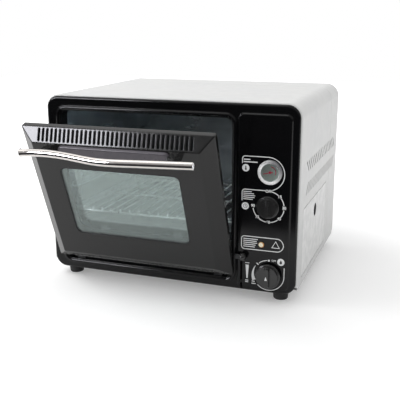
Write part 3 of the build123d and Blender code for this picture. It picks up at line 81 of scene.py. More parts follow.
class Paint:
    """A Principled material with noise-driven colour, roughness and bump in object coordinates."""

    def __init__(self, name, color, roughness, **sockets):
        self.name = name
        self.material = bpy.data.materials.new("finish_" + name)
        self.material.use_nodes = True
        self.tree = self.material.node_tree
        self.shader = self.tree.nodes["Principled BSDF"]
        self.put(Base_Color=(*color, 1), Roughness=roughness, **sockets)
        self.texture = self.node("TexCoord")
        self.place = self.texture.outputs["Object"]
        self.normal = None

    def node(self, kind, *values, **named):
        return add_node(self.tree, kind, *values, **named)

    def put(self, **sockets):
        """Set or link the shader's own sockets, with _ for a space in their names."""
        for name, value in sockets.items():
            set_socket(self.tree, self.shader.inputs[name.replace("_", " ")], value)

    def noise(self, per_metre, detail, stretch=(1, 1, 1)):
        """Noise of about so many cells per metre, squeezed along the axes by stretch."""
        mapped = self.node("Mapping", Vector=self.place, Scale=stretch).outputs[0]
        return self.node("TexNoise", Vector=mapped, Scale=per_metre, Detail=detail).outputs[0]

    def along(self, vector, way):
        """How far a vector reaches along a given way."""
        return self.node("VectorMath", vector, way, operation="DOT_PRODUCT").outputs["Value"]

    def facing(self, way):
        """1 where the object's surface faces a given way, falling off with the angle."""
        return self.along(self.texture.outputs["Normal"], way)

    def tint(self, factor, other, start=NOISE_LOW, end=NOISE_HIGH):
        """Blend the base colour to another one as the factor goes from start to end."""
        base = self.shader.inputs["Base Color"]
        first = base.links[0].from_socket if base.is_linked else tuple(base.default_value)
        mix = self.node("Mix")
        mix.data_type = "RGBA"
        share = map_range(self.tree, factor, start, end, 0, 1)
        for name, value in (("Factor", share), ("A", first), ("B", (*other, 1))):
            set_socket(self.tree, mix.inputs[name], value)
        self.put(Base_Color=mix.outputs["Result"])
        return self

    def sheen(self, factor, low, high):
        """Vary the roughness from low to high with a noise."""
        self.put(Roughness=map_range(self.tree, factor, NOISE_LOW, NOISE_HIGH, low, high))
        return self

    def bump(self, factor, depth, strength):
        """Relief of a depth in metres, on top of any soft edges."""
        made = self.node("Bump", Height=factor, Strength=strength, Distance=depth)
        if self.normal is not None:
            set_socket(self.tree, made.inputs["Normal"], self.normal)
        self.put(Normal=made.outputs[0])
        return self

    def soft_edges(self, radius):
        """Edges that catch the light as if they were rounded."""
        self.normal = self.node("Bevel", Radius=radius).outputs[0]
        self.put(Normal=self.normal)
        return self


LOW_BEVEL = (0.0, -0.556, -0.831)  # the way the door's lower bevel faces, which gets painted light from the floor
LENS_FRONT = (-0.25, -0.95, 0.2)  # the way the sight lens faces where a highlight is painted on it
DRAWN = (1, 0.06, 1)  # draws a noise out into lines from front to back
BRUSHED = (0.03, 1, 1)  # draws it out from side to side


def grey_paint():
    p = Paint("grey_paint", (0.63, 0.63, 0.62), 0.38, Coat_Weight=0.15, Coat_Roughness=0.2)
    p.tint(p.noise(9, 2), (0.605, 0.61, 0.61))
    p.sheen(p.noise(60, 4), 0.33, 0.45)
    return p.bump(p.noise(1900, 2), 0.03 * MM, 0.5)


def door_grey_paint():
    """The cartridge door's own finish: the same paint, a little mottled."""
    p = Paint("grey_paint_door", (0.69, 0.695, 0.69), 0.42, Coat_Weight=0.1, Coat_Roughness=0.25)
    p.tint(p.noise(55, 4), (0.79, 0.79, 0.785), 0.42, 0.62)
    p.sheen(p.noise(60, 4), 0.36, 0.5)
    return p.bump(p.noise(1900, 2), 0.03 * MM, 0.5)


def black_enamel():
    p = Paint("black_enamel", (0.003, 0.003, 0.0035), 0.12, Specular_IOR_Level=0.32)
    p.soft_edges(2 * MM)
    p.sheen(p.noise(40, 3), 0.09, 0.15)
    return p.bump(p.noise(420, 2), 0.01 * MM, 0.3)


def door_paint():
    """Semi-gloss black of the door, with painted light from the floor on its lower bevel."""
    p = Paint("door_paint", (0.011, 0.011, 0.011), 0.16, Specular_IOR_Level=0.45)
    # painted light: the lower bevel is made paler where it faces down to the bright floor
    p.tint(p.facing(LOW_BEVEL), (0.13, 0.13, 0.128), 0.975, 0.992)
    p.soft_edges(1.5 * MM)
    p.sheen(p.noise(70, 4), 0.14, 0.19)
    return p.bump(p.noise(900, 2), 0.01 * MM, 0.3)


def grey_steel():
    """Zinc-coated sheet: dull metal with a faint crystal pattern and drawn lines."""
    p = Paint("grey_steel", (0.42, 0.46, 0.47), 0.36, Metallic=0.85)
    cells = p.node("TexVoronoi", Vector=p.place, Scale=75).outputs["Color"]
    p.tint(cells, (0.50, 0.54, 0.55), 0.2, 0.9)
    p.sheen(p.noise(30, 4), 0.28, 0.46)
    return p.bump(p.noise(260, 3, DRAWN), 0.04 * MM, 0.4)


def liner_steel():
    """Aluminised sheet of the oven's walls: a dull mirror with drawn lines."""
    p = Paint("liner_steel", (0.60, 0.65, 0.68), 0.22, Metallic=1.0)
    p.tint(p.noise(14, 3), (0.68, 0.73, 0.76))
    p.sheen(p.noise(9, 3, (1, 1, 3)), 0.16, 0.30)
    return p.bump(p.noise(170, 3, DRAWN), 0.03 * MM, 0.35)


def shadow_steel():
    """Sheet inside the gas bay, darkened as painted shade."""
    p = Paint("shadow_steel", (0.035, 0.035, 0.036), 0.5)
    p.tint(p.noise(45, 3), (0.055, 0.054, 0.053))
    p.sheen(p.noise(50, 4), 0.42, 0.58)
    return p.bump(p.noise(260, 3, DRAWN), 0.03 * MM, 0.4)


def dark_steel():
    """Dark sheet with a fine pale fleck."""
    p = Paint("dark_steel", (0.03, 0.031, 0.033), 0.42)
    p.tint(p.noise(800, 2), (0.10, 0.105, 0.11), 0.66, 0.74)
    p.sheen(p.noise(50, 4), 0.34, 0.5)
    return p.bump(p.noise(700, 2), 0.03 * MM, 0.4)


def rack_wire():
    p = Paint("rack_wire", (0.50, 0.53, 0.53), 0.3, Metallic=1.0)
    p.tint(p.noise(60, 3), (0.40, 0.42, 0.42))
    p.sheen(p.noise(90, 3), 0.25, 0.4)
    return p.bump(p.noise(700, 2), 0.008 * MM, 0.3)


def burner_steel():
    """Steel with brown heat marks."""
    p = Paint("burner_steel", (0.36, 0.34, 0.32), 0.4, Metallic=0.9)
    p.tint(p.noise(18, 3), (0.30, 0.22, 0.16), 0.45, 0.75)
    p.sheen(p.noise(60, 4), 0.3, 0.5)
    return p.bump(p.noise(500, 3), 0.03 * MM, 0.4)


def stainless():
    """Brushed along X, as the handle is."""
    p = Paint("stainless", (0.80, 0.76, 0.73), 0.08, Metallic=1.0)
    lines = p.noise(900, 3, BRUSHED)
    p.sheen(lines, 0.09, 0.14)
    return p.bump(lines, 0.004 * MM, 0.2)


def bright_chrome():
    p = Paint("bright_chrome", (0.82, 0.82, 0.83), 0.09, Metallic=1.0)
    p.sheen(p.noise(90, 3), 0.06, 0.14)
    return p.bump(p.noise(700, 2), 0.008 * MM, 0.3)


def satin_chrome():
    p = Paint("satin_chrome", (0.86, 0.87, 0.88), 0.3, Metallic=0.75)
    p.sheen(p.noise(90, 3), 0.24, 0.36)
    return p.bump(p.noise(900, 2), 0.008 * MM, 0.3)


def turned_metal_painted_light():
    """Metal of the thermometer's bezel with a painted reflection: bright below on the left, painted
    shade above on the right.
    """
    low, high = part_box("thermometer_bezel")
    radius = (high.x - low.x) / 2
    way = Vector((0.8, 0.0, 0.6))  # up to the right
    middle = way.dot((low + high) / 2)
    p = Paint("turned_metal_painted_light", (0.98, 0.98, 0.98), 0.28, Metallic=0.35)
    # painted reflection and shade: pale below on the left, darker above on the right, by position
    p.tint(p.along(p.place, way), (0.20, 0.20, 0.215), middle - 0.2 * radius, middle + radius)
    p.sheen(p.noise(90, 3), 0.22, 0.34)
    return p.bump(p.noise(900, 2), 0.008 * MM, 0.3)


def black_plastic():
    p = Paint("black_plastic", (0.018, 0.018, 0.018), 0.15, Coat_Weight=0.4, Coat_Roughness=0.06)
    p.soft_edges(1.4 * MM)
    p.sheen(p.noise(60, 3), 0.11, 0.18)
    return p.bump(p.noise(700, 2), 0.004 * MM, 0.3)


def plate_plastic():
    p = Paint("plate_plastic", (0.095, 0.085, 0.100), 0.30)
    p.tint(p.noise(90, 3), (0.075, 0.068, 0.082))
    p.sheen(p.noise(120, 4), 0.27, 0.36)
    return p.bump(p.noise(1500, 2), 0.01 * MM, 0.3)


def rubber():
    p = Paint("rubber", (0.012, 0.012, 0.012), 0.62)
    p.sheen(p.noise(150, 4), 0.55, 0.72)
    return p.bump(p.noise(1200, 3), 0.05 * MM, 0.5)


def seal():
    p = Paint("seal", (0.012, 0.012, 0.013), 0.55)
    p.sheen(p.noise(200, 4), 0.48, 0.65)
    return p.bump(p.noise(900, 3), 0.06 * MM, 0.5)


def brass():
    p = Paint("brass", (0.70, 0.50, 0.24), 0.26, Metallic=1.0)
    p.tint(p.noise(35, 4), (0.52, 0.36, 0.17), 0.5, 0.75)
    p.sheen(p.noise(80, 4), 0.2, 0.36)
    return p.bump(p.noise(900, 2), 0.02 * MM, 0.3)


def copper():
    p = Paint("copper", (0.72, 0.38, 0.24), 0.28, Metallic=1.0)
    p.tint(p.noise(30, 4), (0.42, 0.20, 0.13), 0.5, 0.75)
    p.sheen(p.noise(80, 4), 0.2, 0.4)
    return p.bump(p.noise(900, 2), 0.02 * MM, 0.3)


def amber():
    """Grainy amber of the sight lens, with a pale painted highlight on its front."""
    p = Paint("amber", (0.62, 0.27, 0.08), 0.15, Coat_Weight=0.6, Coat_Roughness=0.05)
    p.put(Subsurface_Weight=0.2)
    p.tint(p.noise(500, 2), (0.70, 0.36, 0.13), 0.42, 0.58)
    # painted highlight: pale where the lens faces forward
    p.tint(p.facing(LENS_FRONT), (1.0, 0.84, 0.62), 0.78, 0.93)
    p.sheen(p.noise(300, 3), 0.1, 0.2)
    return p.bump(p.noise(600, 2), 0.03 * MM, 0.4)


def ceramic():
    p = Paint("ceramic", (0.80, 0.79, 0.75), 0.2, Coat_Weight=0.5, Coat_Roughness=0.1)
    p.tint(p.noise(200, 3), (0.62, 0.60, 0.56), 0.6, 0.8)
    p.sheen(p.noise(100, 3), 0.16, 0.3)
    return p.bump(p.noise(800, 2), 0.02 * MM, 0.3)


def dial():
    p = Paint("dial", (0.52, 0.58, 0.53), 0.35)
    p.tint(p.noise(900, 3), (0.60, 0.66, 0.62))
    p.sheen(p.noise(200, 3), 0.3, 0.42)
    return p.bump(p.noise(1500, 2), 0.01 * MM, 0.3)


def needle_red():
    p = Paint("needle_red", (0.92, 0.07, 0.13), 0.35)
    p.tint(p.noise(600, 2), (0.98, 0.11, 0.18))
    return p.sheen(p.noise(400, 2), 0.3, 0.42)


def ink():
    p = Paint("ink", (0.72, 0.73, 0.73), 0.5)
    p.tint(p.noise(1400, 3), (0.84, 0.85, 0.85))
    return p.sheen(p.noise(900, 3), 0.42, 0.6)


def dark_ink():
    p = Paint("dark_ink", (0.012, 0.012, 0.013), 0.4)
    p.tint(p.noise(1400, 3), (0.02, 0.02, 0.021))
    return p.sheen(p.noise(900, 3), 0.34, 0.5)


def clear_glass():
    """Green-grey tempered glass that lets the lamps through to the oven."""
    p = Paint("clear_glass", (0.93, 0.985, 0.975), 0.02, Transmission_Weight=1.0, IOR=1.95)
    p.put(Specular_Tint=(0.86, 1.0, 0.97, 1))
    p.sheen(p.noise(12, 3), 0.01, 0.05)
    clear = p.node("BsdfTransparent", Color=(0.86, 0.90, 0.88, 1)).outputs[0]
    shadow = p.node("LightPath").outputs["Is Shadow Ray"]
    mix = p.node("MixShader", shadow, p.shader.outputs[0], clear).outputs[0]
    set_socket(p.tree, p.tree.nodes["Material Output"].inputs["Surface"], mix)
    return p


MATERIALS = {
    made.name: made.material
    for made in (
        grey_paint(), door_grey_paint(), black_enamel(), door_paint(), grey_steel(), liner_steel(),
        shadow_steel(), dark_steel(), rack_wire(), burner_steel(), stainless(), bright_chrome(),
        satin_chrome(), turned_metal_painted_light(), black_plastic(), plate_plastic(), rubber(), seal(), brass(),
        copper(), amber(), ceramic(), dial(), needle_red(), ink(), dark_ink(), clear_glass(),
    )
}

OWN_FINISH = {  # nodes whose finish differs from others of their slot
    "cartridge_door": "grey_paint_door",
    "oven_liner": "liner_steel",
    "bay_wall": "shadow_steel",
    "heat_shield": "shadow_steel",
    "lever_pivot": "shadow_steel",
    "thermometer_bezel": "turned_metal_painted_light",
    "wire_rack": "rack_wire",
}


def dress_nodes():
    """Give each CAD node its own finish, or that of its slot in the record."""
    slots = {part["node"]: part["material_slot"] for part in frame["record"]["subparts"]}
    for name, node in frame["nodes"].items():
        for slot in node.material_slots:
            slot.material = MATERIALS[OWN_FINISH.get(name, slots[name])]


# ---- pieces --------------------------------------------------------------------------------------
def centre(node):
    """Middle of a node's box."""
    low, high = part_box(node)
    return (low + high) / 2


def add_object(name, data, material, body):
    """Object of a mesh in one material, riding on a body."""
    data.materials.append(MATERIALS[material])
    made = bpy.data.objects.new(name, data)
    bpy.context.scene.collection.objects.link(made)
    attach(made, body)


def add_form(name, form, material, body, smooth=False):
    """Object of a closed bmesh, which is used up."""
    bmesh.ops.recalc_face_normals(form, faces=form.faces)
    data = bpy.data.meshes.new(name)
    form.to_mesh(data)
    form.free()
    for face in data.polygons:
        face.use_smooth = smooth
    add_object(name, data, material, body)


def runs(items, closed=False):
    """Each item with the next one, and the last with the first where closed."""
    return zip(items, items[1:] + (items[:1] if closed else []))


def skin(form, rings, closed=False):
    """Faces from each ring of vertices to the next; a ring may be a single vertex."""
    for a, b in runs(rings, closed):
        count = max(len(a), len(b))
        for i in range(count):
            j = (i + 1) % count
            corners = [a[i % len(a)], a[j % len(a)], b[j % len(b)], b[i % len(b)]]
            form.faces.new(list(dict.fromkeys(corners)))


def solid(name, outlines, y0, y1, material, body="cabinet"):
    """Thin plates between two depths from closed (x, z) outlines."""
    form = bmesh.new()
    for outline in outlines:
        rings = [[form.verts.new((x, y, z)) for x, z in outline] for y in (y0, y1)]
        skin(form, rings)
        for ring in rings:
            form.faces.new(ring)
    add_form(name, form, material, body)


def lathe(form, middle, along, profile, steps):
    """Closed turned form: profile points are (radius, distance along), from axis to axis."""
    side = along.orthogonal().normalized()
    other = along.cross(side)
    angles = [2 * pi * i / steps for i in range(steps)]
    rings = []
    for radius, distance in profile:
        spot = middle + along * distance
        if radius:
            spots = [spot + (side * cos(a) + other * sin(a)) * radius for a in angles]
        else:
            spots = [spot]
        rings.append([form.verts.new(p) for p in spots])
    skin(form, rings)


# ---- printed marks -------------------------------------------------------------------------------
PAD_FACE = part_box("front_frame")[0].y  # front of the control pad
INK_LIFT = 0.08 * MM  # how far a mark stands out of its face
ICON_LIFT = INK_LIFT + 0.06 * MM  # the same for the icons on their pale discs
INK_SUNK = 0.05 * MM  # how far it reaches into its face
INK_LINE = 1.35 * MM  # width of the frames and rings
STROKE_OVER = 0.12  # how far a stroke's runs reach past their ends, in widths

PRINT_LEFT = centre("timer_knob").x - 44.6 * MM  # left lines of the frames
CORNER = 5 * MM  # radius of their corners
BARS_X = PRINT_LEFT + 2.2 * MM
ICON_X = PRINT_LEFT + 5.8 * MM
ICON_RADIUS = 6.2 * MM  # of the pale disc under an icon


def printed(name, outlines, material="ink", lift=INK_LIFT, body="cabinet", face=PAD_FACE):
    """Flat marks on the control pad, or on another face."""
    solid(name, outlines, face - lift, face + INK_SUNK, material, body)


def round_point(x, z, radius, turn):
    """Point on a circle; turn in degrees from +X towards +Z."""
    return x + radius * cos(radians(turn)), z + radius * sin(radians(turn))


def arc(x, z, radius, start, end, steps):
    """Points on a circle from one angle to another."""
    return [round_point(x, z, radius, start + (end - start) * i / steps) for i in range(steps + 1)]


def disc(x, z, radius, sides=24):
    """Outline of a disc."""
    return arc(x, z, radius, 0, 360 - 360 / sides, sides - 1)


def stroke(points, width, closed=False):
    """Outlines of a line along points: one four-sided plate for each run."""
    plates = []
    for (x0, z0), (x1, z1) in runs(points, closed):
        along = Vector((x1 - x0, z1 - z0)).normalized()
        side = Vector((-along.y, along.x)) * width / 2
        over = along * width * STROKE_OVER
        a, b = Vector((x0, z0)) - over, Vector((x1, z1)) + over
        plates.append([tuple(p) for p in (a + side, b + side, b - side, a - side)])
    return plates


def dash(x0, x1, z, width):
    """Level stroke."""
    return stroke([(x0, z), (x1, z)], width)


def ribbon(name, points, widths=(INK_LINE,), closed=False):
    """Printed line along points, of one width or of a width for each point."""
    front, back = PAD_FACE - INK_LIFT, PAD_FACE + INK_SUNK
    form = bmesh.new()
    rings = []
    for i, (x, z) in enumerate(points):
        before = points[i - 1] if i or closed else points[i]
        after = points[(i + 1) % len(points)] if i < len(points) - 1 or closed else points[i]
        along = Vector((after[0] - before[0], after[1] - before[1])).normalized()
        side = Vector((-along.y, along.x)) * widths[i % len(widths)] / 2
        left, right = (x + side.x, z + side.y), (x - side.x, z - side.y)
        ring = ((left, front), (right, front), (right, back), (left, back))
        rings.append([form.verts.new((x, y, z)) for (x, z), y in ring])
    skin(form, rings, closed)
    if not closed:
        form.faces.new(rings[0])
        form.faces.new(rings[-1])
    add_form(name, form, "ink", "cabinet")


def bars(name, x, z, lengths, pitch, width):
    """Short lines under each other, in place of small print; lengths, pitch and width in mm."""
    rows = []
    for i, length in enumerate(lengths):
        rows += dash(x, x + length * MM, z - i * pitch * MM, width * MM)
    printed(name, rows)


def icon(part, x, z, outlines):
    """Dark icon on a pale disc."""
    printed("print_disc_" + part, [disc(x, z, ICON_RADIUS, sides=40)])
    printed("print_icon_" + part, outlines, "dark_ink", ICON_LIFT)


def words(name, text, x, z, size, bold):
    """Generic numbers or a switch word, centred on a point of the pad."""
    curve = bpy.data.curves.new(name, "FONT")
    curve.body = text
    curve.size = size
    curve.align_x = curve.align_y = "CENTER"
    curve.extrude = (INK_LIFT + INK_SUNK) / 2
    curve.offset = size * bold
    holder = bpy.data.objects.new(name + "_curve", curve)
    bpy.context.scene.collection.objects.link(holder)
    bpy.context.view_layer.update()
    shown = holder.evaluated_get(bpy.context.evaluated_depsgraph_get())
    data = bpy.data.meshes.new_from_object(shown)
    bpy.data.objects.remove(holder)
    place = Matrix.Translation((x, PAD_FACE - (INK_LIFT - INK_SUNK) / 2, z))
    data.transform(place @ Matrix.Rotation(radians(90), 4, "X"))
    data.name = name
    data.materials.clear()
    add_object(name, data, "ink", "cabinet")


def frame_line(top, bottom):
    """The left line of a frame from its lower end, with the corner at its top."""
    corner = arc(PRINT_LEFT + CORNER, top - CORNER, CORNER, 180, 90, 8)
    return [(PRINT_LEFT, bottom)] + corner


def thermometer_print():
    """Framed loop round the thermometer, with its bars and icon."""
    c = centre("thermometer_bezel") - Vector((3.9, 0, 3.1)) * MM
    loop = 27.8 * MM
    top = c.z + loop
    path = frame_line(top, c.z + 15.5 * MM) + arc(c.x, c.z, loop, 90, -86, 44)
    ribbon("print_loop_thermometer", path)
    bars("print_bars_thermometer", BARS_X, top - 5.6 * MM, (11, 23), 4.0, 1.7)
    z = c.z + 8.0 * MM
    tube = arc(ICON_X, z + 2.6 * MM, 0.9 * MM, 0, 180, 8)
    bulb = arc(ICON_X, z - 2.0 * MM, 1.6 * MM, 125, 415, 16)
    icon("thermometer", ICON_X, z, [tube + bulb])


def timer_print():
    """Ring broken by its minutes, and the framed loop that leads to it, with bars and an icon."""
    c = centre("timer_knob") + Vector((0.7, 0, 0.6)) * MM
    ring = 26.3 * MM
    step, gap, wide_gap = 45, 8, 12  # degrees between the numbers, and from each to the ring
    numbers = ("OFF", "15", "30", "45", "60", "75", "90")
    for i, text in enumerate(numbers):
        turn = 90 - step * i
        words(f"print_number_{i}", text, *round_point(c.x, c.z, ring, turn), 6.6 * MM, 0.035)
        if i < len(numbers) - 1:
            start = turn - (gap if i else wide_gap)
            ribbon(f"print_ring_timer_{i}", arc(c.x, c.z, ring, start, turn - step + gap, 10))
    top = c.z + ring + 0.8 * MM
    ribbon("print_loop_timer", frame_line(top, c.z + 7.5 * MM) + [(c.x - 6.5 * MM, top)])
    bars("print_bars_timer", BARS_X, top - 3.8 * MM, (14, 18, 20, 19, 16), 3.2, 1.3)
    x, z, line = ICON_X, c.z - 1.5 * MM, 0.7 * MM
    clock = stroke(disc(x, z, 3.4 * MM), line, closed=True)
    clock += stroke([(x, z + 2.4 * MM), (x, z)], line)
    clock += stroke([(x, z), (x + 1.8 * MM, z - 1.0 * MM)], line)
    icon("timer", x, z, clock)


def sight_print():
    """Rounded frame round the sight lens, with bars and a plain triangle."""
    c = centre("sight_lens") + Vector((0, 0, 1.4)) * MM
    half = 11.3 * MM  # of the frame's height
    path = arc(PRINT_LEFT + CORNER, c.z + half - CORNER, CORNER, 180, 90, 8)
    path += arc(c.x + 37.5 * MM - half, c.z, half, 90, -90, 24)
    path += arc(PRINT_LEFT + CORNER, c.z - half + CORNER, CORNER, 270, 180, 8)
    ribbon("print_frame_sight", path, closed=True)
    left = PRINT_LEFT + 3.2 * MM
    bars("print_bars_sight", left, c.z + 6.9 * MM, (25, 23, 24, 21, 20), 3.4, 1.35)
    x, z = c.x + 24.5 * MM, c.z - 1.0 * MM
    corners = [round_point(x, z, 7.4 * MM, turn) for turn in (90, 210, 330)]
    ribbon("print_triangle", corners, (1.9 * MM,), closed=True)


def gas_print():
    """Flame scale round the gas knob: ring, dot, switch word, arc, tick and widening wedge."""
    c = centre("gas_knob")
    ring = 26.5 * MM
    ribbon("print_ring_gas", [(c.x + ring, c.z + 16 * MM)] + arc(c.x, c.z, ring, 0, -135, 40))
    printed("print_dot_gas", [disc(c.x, c.z + ring, 1.8 * MM)])
    words("print_off", "OFF", c.x + 8.5 * MM, c.z + ring + 0.3 * MM, 4.6 * MM, 0.012)
    ribbon("print_arc_gas", arc(c.x, c.z, ring, 96, 130, 12))
    tick = [round_point(c.x, c.z, ring + over * MM, 136) for over in (-1.5, 2.5)]
    printed("print_tick_gas", stroke(tick, 1.8 * MM))
    steps = 30
    widths = [(0.6 + 5.6 * i / steps) * MM for i in range(steps + 1)]
    ribbon("print_wedge_gas", arc(c.x, c.z, ring + 0.9 * MM, 146, 203, steps), widths)
    x, z = c.x + 20.5 * MM, c.z + 26 * MM
    flame = arc(x, z - 1.2 * MM, 2.3 * MM, 200, 340, 12)
    flame += [(x + 1.7 * MM, z + 0.8 * MM), (x, z + 3.8 * MM), (x - 1.4 * MM, z + 1.0 * MM)]
    icon("gas", x, z, [flame])
    x, z = c.x - 29 * MM, c.z - 13.5 * MM
    small = dash(x, x + 5 * MM, z, 1.6 * MM)
    small += dash(x - 0.5 * MM, x + 6.5 * MM, z - 4 * MM, 1.6 * MM)
    printed("print_small_gas", small)


def lever_print():
    """Wedge beside the lever's slot, with a dash over it and two under it."""
    c = centre("gas_knob")
    x, top, bottom = c.x - 37.5 * MM, c.z + 15 * MM, c.z - 9 * MM
    broad, narrow = 2.9 * MM, 1.1 * MM  # half widths
    wedge = [(x - broad, top), (x + broad, top), (x + narrow, bottom), (x - narrow, bottom)]
    printed("print_wedge_lever", [wedge])
    marks = dash(x - 3.5 * MM, x + 3.5 * MM, top + 3.4 * MM, 1.2 * MM)
    for under in (4, 7):
        marks += dash(x - 3 * MM, x + 2 * MM, bottom - under * MM, 1.4 * MM)
    printed("print_marks_lever", marks)


def knob_marks():
    """Pointer triangle on the gas knob's grip and a line on the timer's."""
    c, face = centre("gas_knob"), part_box("gas_knob")[0].y
    half, foot, tip = 2.3 * MM, c.z - 2.2 * MM, c.z + 4.2 * MM
    pointer = [(c.x - half, foot), (c.x + half, foot), (c.x, tip)]
    printed("pointer_gas_knob", [pointer], body="gas_knob", face=face)
    c, face = centre("timer_knob"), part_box("timer_knob")[0].y
    line = stroke([(c.x, c.z + 6 * MM), (c.x, c.z + 14 * MM)], 0.9 * MM)
    printed("pointer_timer_knob", line, "dark_ink", body="timer_knob", face=face)


def thermometer_marks():
    """Scale on the thermometer's dial: ring of ticks and the red range."""
    low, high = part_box("thermometer_dial")
    c, radius = (low + high) / 2, (high.x - low.x) / 2
    front, back = low.y - 0.05 * MM, low.y + 0.05 * MM
    count, first, step = 31, 225, 9  # ticks, and their angles in degrees
    outer = 0.97  # share of the dial's radius
    ticks = []
    for i in range(count):
        inner, width = (0.77, 0.7) if i % 5 == 0 else (0.86, 0.4)  # a long one every five
        turn = first - step * i
        ends = [round_point(c.x, c.z, share * radius, turn) for share in (inner, outer)]
        ticks += stroke(ends, width * MM)
    solid("dial_ticks", ticks, front, back, "ink")
    red = stroke(arc(c.x, c.z, 0.64 * radius, 80, -20, 20), 1.6 * MM)
    solid("dial_red_range", red, front, back, "needle_red")


# ---- trim ----------------------------------------------------------------------------------------
GLASS_LAP = 9 * MM  # of the window's glass behind the opening
WINDOW_R = 12 * MM  # the opening's corners
DOOR_SHEET = 1 * MM
SEAL_WIDTH = 2.3 * MM
SEAL_BITE = 0.02 * MM  # of the seal into the opening's edge
# around the seal: distance in from the opening's edge in widths, height over the glass in sheets
SEAL_SECTION = ((0.0, 0.05), (0.0, 0.8), (0.35, 0.95), (0.75, 0.8), (1.0, 0.05))


def window_seal():
    """Black ring round the window, in the thickness of the door's sheet."""
    glass = frame["nodes"]["outer_glass"].data
    fronts = (p for p in glass.polygons if p.normal.y < -0.5)
    out = max(fronts, key=lambda p: p.area).normal.copy()
    right = Vector((1, 0, 0))
    up = out.cross(right).normalized()
    across, upward = ([v.co.dot(way) for v in glass.vertices] for way in (right, up))
    face = max(v.co.dot(out) for v in glass.vertices)
    corner = GLASS_LAP + WINDOW_R  # from the glass's edges to the middle of a rounded corner
    x0, x1 = min(across) + corner, max(across) - corner
    u0, u1 = min(upward) + corner, max(upward) - corner
    form = bmesh.new()
    rings = []
    for inset, height in SEAL_SECTION:
        radius = WINDOW_R - (inset * SEAL_WIDTH - SEAL_BITE)
        path = []
        for quarter, (x, u) in enumerate(((x1, u1), (x0, u1), (x0, u0), (x1, u0))):
            path += arc(x, u, radius, 90 * quarter, 90 * quarter + 90, 10)
        level = out * (face + height * DOOR_SHEET)
        rings.append([form.verts.new(right * x + up * u + level) for x, u in path])
    skin(form, rings, closed=True)
    add_form("window_seal", form, "seal", "door", smooth=True)


# radius in the tube's radii, distance out of its end in mm
PLUG_PROFILE = (
    (0, -1.5), (0.80, -1.5), (0.80, 0.2), (0.97, 0.3),
    (0.97, 0.9), (0.85, 1.5), (0.5, 1.8), (0, 1.9),
)
PLUG_SIDES = 20
TUBE_RIM = 1.2 * MM  # the tube's vertices this near to its end are its rim


def handle_plugs():
    """Domed plugs in the ends of the handle's tube."""
    tube = frame["nodes"]["handle_tube"].data
    low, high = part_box("handle_tube")
    form = bmesh.new()
    for end, way in ((low.x, -1), (high.x, 1)):
        rim = [v.co for v in tube.vertices if abs(v.co.x - end) < TUBE_RIM]
        middle = sum(rim, Vector()) / len(rim)
        middle.x = end
        radius = (max(p.z for p in rim) - min(p.z for p in rim)) / 2
        profile = [(share * radius, out * MM) for share, out in PLUG_PROFILE]
        lathe(form, middle, Vector((way, 0, 0)), profile, PLUG_SIDES)
    add_form("handle_plugs", form, "bright_chrome", "door", smooth=True)


LIP_X = 5 * MM  # middle of the lip, from the lever arm's left side
LIP_WIDTH = 11 * MM
LIP_HALF = 0.4 * MM  # half its thickness
LIP_DROP = 7.5 * MM  # under the floor
LIP_BITE = 0.3 * MM  # into the floor


def slot_end_shade():
    """Dark lip under the floor's front edge, seen through the lower end of the lever's slot: partly
    a presumed flange, partly a dark sheet put in as painted shade.
    """
    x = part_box("lever_arm")[0].x + LIP_X
    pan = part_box("bottom_pan")[0]
    lip = stroke([(x, pan.z - LIP_DROP), (x, pan.z + LIP_BITE)], LIP_WIDTH)
    solid("slot_end_shade", lip, pan.y - LIP_HALF, pan.y + LIP_HALF, "black_enamel")


WIRE_PITCH = 19 * MM
WIRE_COUNT = 16
WIRE_SIDES = 12
FOOT_BACK = 1.6 * MM  # the ends' feet behind the rack's front
FOOT_DOWN = 2.0 * MM  # and under its top
# radius and height over the foot in mm
WIRE_PROFILE = ((0, 0), (1.5, 0), (1.55, 3.6), (1.3, 4.6), (0.8, 5.2), (0, 5.4))


def rack_wire_ends():
    """Turned-up ends of the rack's long wires on its front rod."""
    low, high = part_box("wire_rack")
    middle = (low.x + high.x) / 2
    profile = [(radius * MM, up * MM) for radius, up in WIRE_PROFILE]
    form = bmesh.new()
    for i in range(WIRE_COUNT):
        x = middle + (i - (WIRE_COUNT - 1) / 2) * WIRE_PITCH
        foot = Vector((x, low.y + FOOT_BACK, high.z - FOOT_DOWN))
        lathe(form, foot, Vector((0, 0, 1)), profile, WIRE_SIDES)
    add_form("rack_wire_ends", form, "satin_chrome", "cabinet", smooth=True)


# ---- camera, floor and light ---------------------------------------------------------------------
CAMERA_AT = (0.44898, -1.165532, 0.469820)
CAMERA_YAW = 20.065831  # degrees
CAMERA_DOWN = 14.912237
CAMERA_ROLL = -0.206988
CAMERA_LENS = 61.7945  # mm
SENSOR = 36.0


def add_camera():
    data = bpy.data.cameras.new("camera")
    data.sensor_width = SENSOR
    data.lens = CAMERA_LENS
    camera = bpy.data.objects.new("camera", data)
    bpy.context.scene.collection.objects.link(camera)
    place = Matrix.Translation(CAMERA_AT)
    for angle, axis in ((CAMERA_YAW, "Z"), (90 - CAMERA_DOWN, "X"), (CAMERA_ROLL, "Z")):
        place = place @ Matrix.Rotation(radians(angle), 4, axis)
    camera.matrix_world = place
    bpy.context.scene.camera = camera


def seen_rays(tree):
    """Light Path, and 1 for rays that show the backdrop.

    These come from the camera, off a mirror or through glass, with no matt bounce before.
    """
    path = add_node(tree, "LightPath").outputs
    shown = calculate(tree, "MAXIMUM", path["Is Camera Ray"], path["Is Glossy Ray"])
    shown = calculate(tree, "MAXIMUM", shown, path["Is Transmission Ray"])
    straight = calculate(tree, "LESS_THAN", path["Diffuse Depth"], 0.5)  # depth 0
    return path, calculate(tree, "MULTIPLY", shown, straight)


